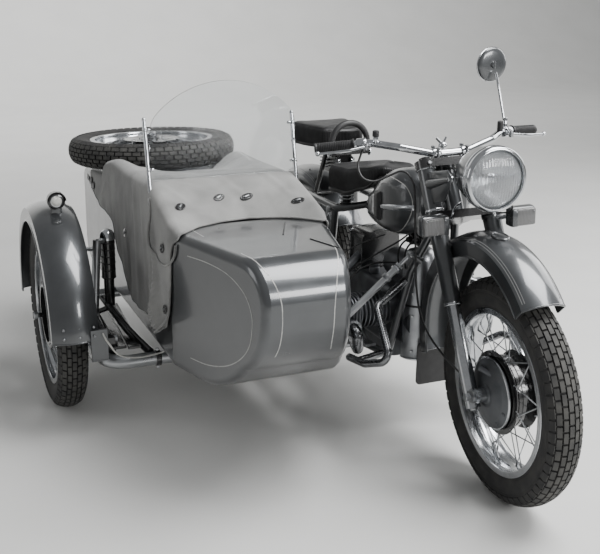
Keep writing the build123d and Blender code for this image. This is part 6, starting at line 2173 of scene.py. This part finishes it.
@dataclass
class EngineDetail:
    """Front cover, plugs and leads, header nuts, carburettor tops, filler, bolts and straps of the engine."""

    def build(self) -> None:
        """Build the engine's fittings."""
        part = Piece("engine_fittings", "machine", [Shade.CASTING, Shade.STEEL, Shade.CHROME, Shade.RUBBER, Shade.FRAME,
                                                    Shade.POLISHED], "alloy")
        cover = lathe([(0, 262), (54, 262), (58, 264), (60, 270), (60, 300), (61, 420), (61, 560), (59, 612), (52, 638),
                       (38, 650), (0, 654)], 40, sweep=math.pi)
        stretch = place_at(0, -922, 0) @ Matrix.Diagonal((1.0, 1.1, 1.0, 1.0)) @ X_TO_UP
        part.take(cover, Shade.POLISHED, stretch)
        for level, high, r, shade in ((455, 9, 62.4, Shade.RUBBER), (262, 7, 63.5, Shade.CHROME),
                                      (560, 4, 62.0, Shade.POLISHED)):
            low, top = level - high / 2, level + high / 2
            band = [(r - 3, low), (r, low + 1), (r, top - 1), (r - 3, top)]
            part.take(lathe(band, 40, sweep=math.pi), shade, stretch)
        for x in (-44, 44):
            for z in (292, 420, 500, 600):
                part.take(bolt(at(x, -922 - 1.1 * math.sqrt(61 ** 2 - x * x), z), Vector((x / 61, -1, 0)), 10, 5),
                          Shade.STEEL)
        for side in (-1, 1):
            self.cylinder(part, side)
        for x, y in ((-70, -860), (-70, -760), (-70, -660), (70, -860), (70, -760), (70, -660)):
            part.take(bolt(at(x, y, 300), UP, 12, 7), Shade.STEEL)
        part.take(rod(at(-58, -700, 505), at(-58, -700, 528), 40, sides=24, round_mm=3.0), Shade.CASTING)
        part.take(brick((34, 8, 12), 2.0, 2), Shade.CASTING, place_at(-58, -700, 532))
        part.take(rod(at(0, -918, 560), at(0, -926, 560), 84, 70, 40, 2.0), Shade.CASTING)
        for angle in range(0, 360, 60):
            x, z = 38 * math.cos(math.radians(angle)), 38 * math.sin(math.radians(angle))
            part.take(bolt(at(x, -757, 560 + z), REAR, 9, 5), Shade.STEEL)
        for y in (-628, -530):
            part.take(bent([at(-78, y, 500), at(-80, y, 600), at(-40, y, 644), at(40, y, 644), at(80, y, 600),
                            at(78, y, 500)], 4.0, 8), Shade.STEEL)
        part.done()

    def cylinder(self, part: Piece, side: int) -> None:
        """Build the fittings of one cylinder.

        Args:
            part: The piece that takes them.
            side: -1 on the machine's right, 1 on its left.
        """
        out = Vector((side, 0, 0))
        part.take(bolt(at(side * 321, -862, 430), out, 19, 9), Shade.CHROME)
        part.take(rod(at(side * 318, -862, 430), at(side * 323, -862, 430), 34, sides=28, round_mm=1.0), Shade.CASTING)
        for z in (398, 414, 446, 462):
            part.take(brick((6, 70, 5), 2.0, 2), Shade.CASTING, place_at(side * 321, -862, z))
        for y, z in ((-906, 470), (-906, 390), (-818, 470), (-818, 390)):
            part.take(bolt(at(side * 104, y, z), Vector((side, 0, 0)), 13, 8), Shade.STEEL)
            part.take(rod(at(side * 208, y, z), at(side * 216, y, z), 14, sides=12), Shade.STEEL)
        low, high = at(side * 250, -868, 480), at(side * 246, -872, 522)
        part.take(rod(low, low.lerp(high, 0.4), 19, sides=6), Shade.STEEL)
        part.take(rod(low.lerp(high, 0.35), high, 12, 11, 16, 1.0), Shade.POLISHED)
        part.take(rod(low.lerp(high, 0.7), high + (high - low) * 0.35, 17, 15, 16, 2.5), Shade.RUBBER)
        lead = [high + (high - low) * 0.3, at(side * 236, -880, 566), at(side * 180, -884, 596),
                at(side * 110, -880, 600), at(side * 50, -872, 588)]
        part.take(bent(lead, 7.0, 10), Shade.RUBBER)
        header = at(side * 256, -934, 396)
        nut = lathe([(20, 0), (29, 0), (29, 4), (26, 5), (29, 6), (29, 10), (26, 11), (29, 12), (29, 16), (20, 16)], 32,
                    closed=True)
        part.take(nut, Shade.POLISHED, Matrix.Translation(header) @ Matrix.Rotation(-math.pi / 2, 4, "Z"))
        top = at(side * 246, -752, 512)
        part.take(rod(top, top + off(0, 0, 14), 42, 36, 28, 2.0), Shade.POLISHED)
        part.take(rod(top + off(0, 0, 14), top + off(0, 0, 34), 12, 10, 12, 1.0), Shade.STEEL)
        cable = [top + off(0, 0, 30), at(side * 240, -760, 590), at(side * 180, -800, 650), at(side * 100, -860, 690)]
        part.take(bent(cable, 5.0, 8), Shade.RUBBER)
        part.take(bolt(at(side * 276, -752, 426), -UP, 16, 8), Shade.CHROME)
        for y in (-768, -736):
            part.take(rod(at(side * 262, y, 452), at(side * 284, y, 452), 7, sides=10), Shade.STEEL)
        for y in (-560, -420):
            clamp = lathe([(19, -7), (22, -7), (22, 7), (19, 7)], 28, closed=True)
            part.take(clamp, Shade.CHROME, place_at(side * 200, y, 328) @ X_TO_REAR)


@dataclass
class SmallFittings:
    """Fittings of the frame, pegs, dampers, coils, tail lamp, boot lid and mud flap."""

    def build(self) -> None:
        """Build the fittings."""
        part = Piece("frame_fittings", "machine", [Shade.STEEL, Shade.RUBBER, Shade.CHROME, Shade.FRAME,
                                                   Shade.DARK_LENS, Shade.LAMP_SHELL], "steel")
        for side in (-1, 1):
            for y in (-704, -366):
                ribs = [(0, 0), (13, 0)]
                for step in range(9):
                    ribs += [(r, x + step * 10.5) for r, x in ((15.6, 2), (15.6, 8), (13.6, 9), (13.6, 11.4))]
                ribs += [(19, 97), (19, 101), (15, 103), (0, 103)]
                turn = place_at(side * 160, y, 280) @ (Matrix.Rotation(math.pi, 4, "Z") if side < 0 else Matrix())
                part.take(lathe(ribs, 24), Shade.RUBBER, turn)
            part.take(bolt(at(side * 165, -46, 370), Vector((side, 0, 0)), 19, 10), Shade.CHROME)
            part.take(bolt(at(side * 163, -46, 706), Vector((side, 0, 0)), 19, 10), Shade.CHROME)
            part.take(lathe([(29.2, 0), (30.6, 2), (30.6, 8), (29.2, 10)], 32, closed=True), Shade.CHROME,
                      onto(at(side * 150, -46, 500), UP))
            SaddleDetail.coil(part, at(side * 150, -46, 412), at(side * 150, -46, 492), 46, 6.5, 6.5)
            part.take(bolt(at(side * 116, 0, 348), Vector((side, 0, 0)), 30, 14), Shade.STEEL)
            part.take(bolt(at(side * 122, -412, 345), Vector((side, 0, 0)), 24, 12), Shade.STEEL)
        for y, z in ((-1000, 696), (-952, 690)):
            part.take(rod(at(-52, y, z), at(52, y, z), 38, sides=28, round_mm=3.0), Shade.FRAME)
            part.take(rod(at(-66, y, z), at(-50, y, z), 17, 22, 20, 2.0), Shade.RUBBER)
            part.take(bent([at(-64, y, z), at(-82, y + 6, z - 10), at(-84, y + 30, z - 60), at(-60, y + 60, z - 110)],
                           7.0, 8), Shade.RUBBER)
        rear = place_at(0, 400, 640) @ X_TO_REAR
        part.take(lathe([(31, -4), (35.5, -4), (36.5, 0), (35.5, 4), (31, 5)], 40, closed=True), Shade.CHROME, rear)
        part.take(lathe([(0, 11), (14, 10), (26, 6.5), (31.5, 2), (31.5, -2), (0, -2)], 40), Shade.DARK_LENS, rear)
        for x in (-1, 1):
            for dz in (-40, 40):
                part.take(bolt(at(x * 75, 421, 545 + dz), REAR, 9, 4), Shade.STEEL)
        for x in (-90, 90):
            part.take(ball(4.5, at(x * 0.55, -70, 776), 10), Shade.STEEL)
        part.done()
        lid = Piece("boot_fittings", "boot", [Shade.CHROME, Shade.STEEL, Shade.BODY], "chrome")
        lid.take(bent([at(TUB_X - 36, 508, 766), at(TUB_X - 36, 512, 784), at(TUB_X + 36, 512, 784),
                       at(TUB_X + 36, 508, 766)], 8.0, 10), Shade.CHROME)
        for x in (-120, 120):
            for dx in (-18, 18):
                lid.take(bolt(at(TUB_X + x + dx, -14, 767), UP, 9, 4), Shade.STEEL)
        hub = spare_turn()
        lid.take(lathe([(8, 50), (24, 50), (26, 53), (26, 60), (22, 64), (8, 64)], 6), Shade.CHROME, hub)
        for angle in (0, 120, 240):
            a = math.radians(angle)
            lid.take(rod(hub @ off(58, 0, 0), hub @ Vector((mm(60), mm(46) * math.cos(a), mm(46) * math.sin(a))), 12, 9,
                         12, 2.0), Shade.CHROME)
        lid.done()
        flap = Piece("mud_flap_strip", "steering", [Shade.STEEL, Shade.CHROME], "steel", steer_turn())
        flap.take(brick((118, 3, 16), 1.0, 1), Shade.STEEL, place_at(0, -1012, 326))
        for x in (-46, 0, 46):
            flap.take(bolt(at(x, -1010.5, 326), REAR, 10, 5), Shade.CHROME)
        flap.done()


def dress_frame() -> None:
    """Put finishes on the CAD nodes that keep their shape."""
    dress(["fuel_tank", "front_fender", "rear_fender", "sidecar_fender", "sidecar_tub", "boot_lid", "fork_shrouds",
           "main_frame"], Shade.BODY)
    dress(["fork_yokes", "swing_arm", "rear_dampers", "saddle_brackets", "centre_stand", "air_cleaner",
           "sidecar_swing_arm", "sidecar_damper"], Shade.FRAME)
    dress(["exhausts", "crash_bars"], Shade.PIPE)
    dress(["handlebar", "windscreen_posts", "marker_lamp", "mirror", "headlamp"], Shade.CHROME)
    dress(["engine_block", "front_brake_plate"], Shade.DRUM)
    # These castings' grey is set lower as painted shade.
    dress(["cylinders", "cylinder_heads", "carburettors", "final_drive"], Shade.CASTING)
    dress(["fork_sliders"], Shade.RIM)
    dress(["sidecar_chassis", "sidecar_struts"], Shade.CHASSIS)
    dress(["hand_controls", "foot_controls"], Shade.STEEL)
    dress(["lamp_lead"], Shade.LEAD)
    dress(["footrests", "mud_flap", "control_cables", "tub_mounts", "pillion_handle", "rider_saddle", "pillion_saddle",
           "canvas_cover"], Shade.RUBBER)
    dress(["windscreen"], Shade.CLEAR)
    dress(["headlamp_lens"], Shade.GLASS)
    dress(["turn_signals", "tail_lamp"], Shade.LAMP_SHELL)


def build_wheels() -> None:
    """Build the three running wheels and the spare, each with its tyre."""
    front = steer_turn() @ place_at(0, -WHEELBASE, WHEEL_R)
    places = [("front", "front_wheel", front), ("rear", "rear_wheel", place_at(0, 0, WHEEL_R)),
              ("sidecar", "sidecar_wheel", place_at(*SIDE_WHEEL)), ("spare", "boot", spare_turn())]
    for name, body, place in places:
        Tyre().build(f"{name}_road_tyre", body, f"{name}_tyre", place)
        WireWheel().build(f"{name}_wire_wheel", body, f"{name}_wheel", place)


def build_sidecar() -> None:
    """Build the sidecar's cloth, lines, fittings and lamp."""
    CanvasCover().build()
    TubLining().build()
    ChassisDetail().build()
    ScreenDetail().build()
    MarkerLamp().build()
    side = FenderTrim("sidecar_fender", "machine", SIDE_WHEEL, 420, 156, 3, 181)
    side.build([])
    rear = FenderTrim("rear_fender", "machine", (0, 0, WHEEL_R), 432, 156, 36, 212)
    # The rear fender's lines are a painted highlight of a raised bead.
    rear.build([(57, 1.8), (63, 1.8)])


def build_steering() -> None:
    """Build the lamps, controls and trims that turn with the fork."""
    front = FenderTrim("front_fender", "steering", (0, -1405, 416), 395, 138, 42, 195, steer_turn())
    # The front fender's lines are a painted highlight of a raised bead.
    front.build([(56, 1.7), (62, 1.7)])
    Headlamp().build()
    ForkPanels().build()
    TurnSignals().build()
    Controls().build()
    RoundMirror().build()
    ForkDetail().build()


def build_machine() -> None:
    """Build the saddles and the fittings of the tank, engine and frame."""
    rider = [(0.0, 48, 882, 900), (0.12, 62, 866, 908), (0.35, 92, 806, 892), (0.6, 121, 772, 874),
             (0.9, 138, 770, 871), (1.0, 134, 778, 866)]
    RubberSaddle("rider_saddle_rubber", "rider_saddle", -800, -404, rider).build()
    pillion = [(0.0, 66, 906, 974), (0.12, 84, 898, 980), (0.6, 114, 893, 980), (0.9, 130, 893, 978),
               (1.0, 124, 900, 972)]
    RubberSaddle("pillion_saddle_rubber", "pillion_saddle", -318, -12, pillion).build()
    SaddleDetail().build()
    TankDetail().build()
    EngineDetail().build()
    SmallFittings().build()


def main() -> None:
    """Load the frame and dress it."""
    logging.basicConfig(level=logging.INFO, format="%(name)s: %(message)s")
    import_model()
    Studio().build()
    dress_frame()
    build_wheels()
    build_sidecar()
    build_steering()
    build_machine()


if __name__ == "__main__":
    main()
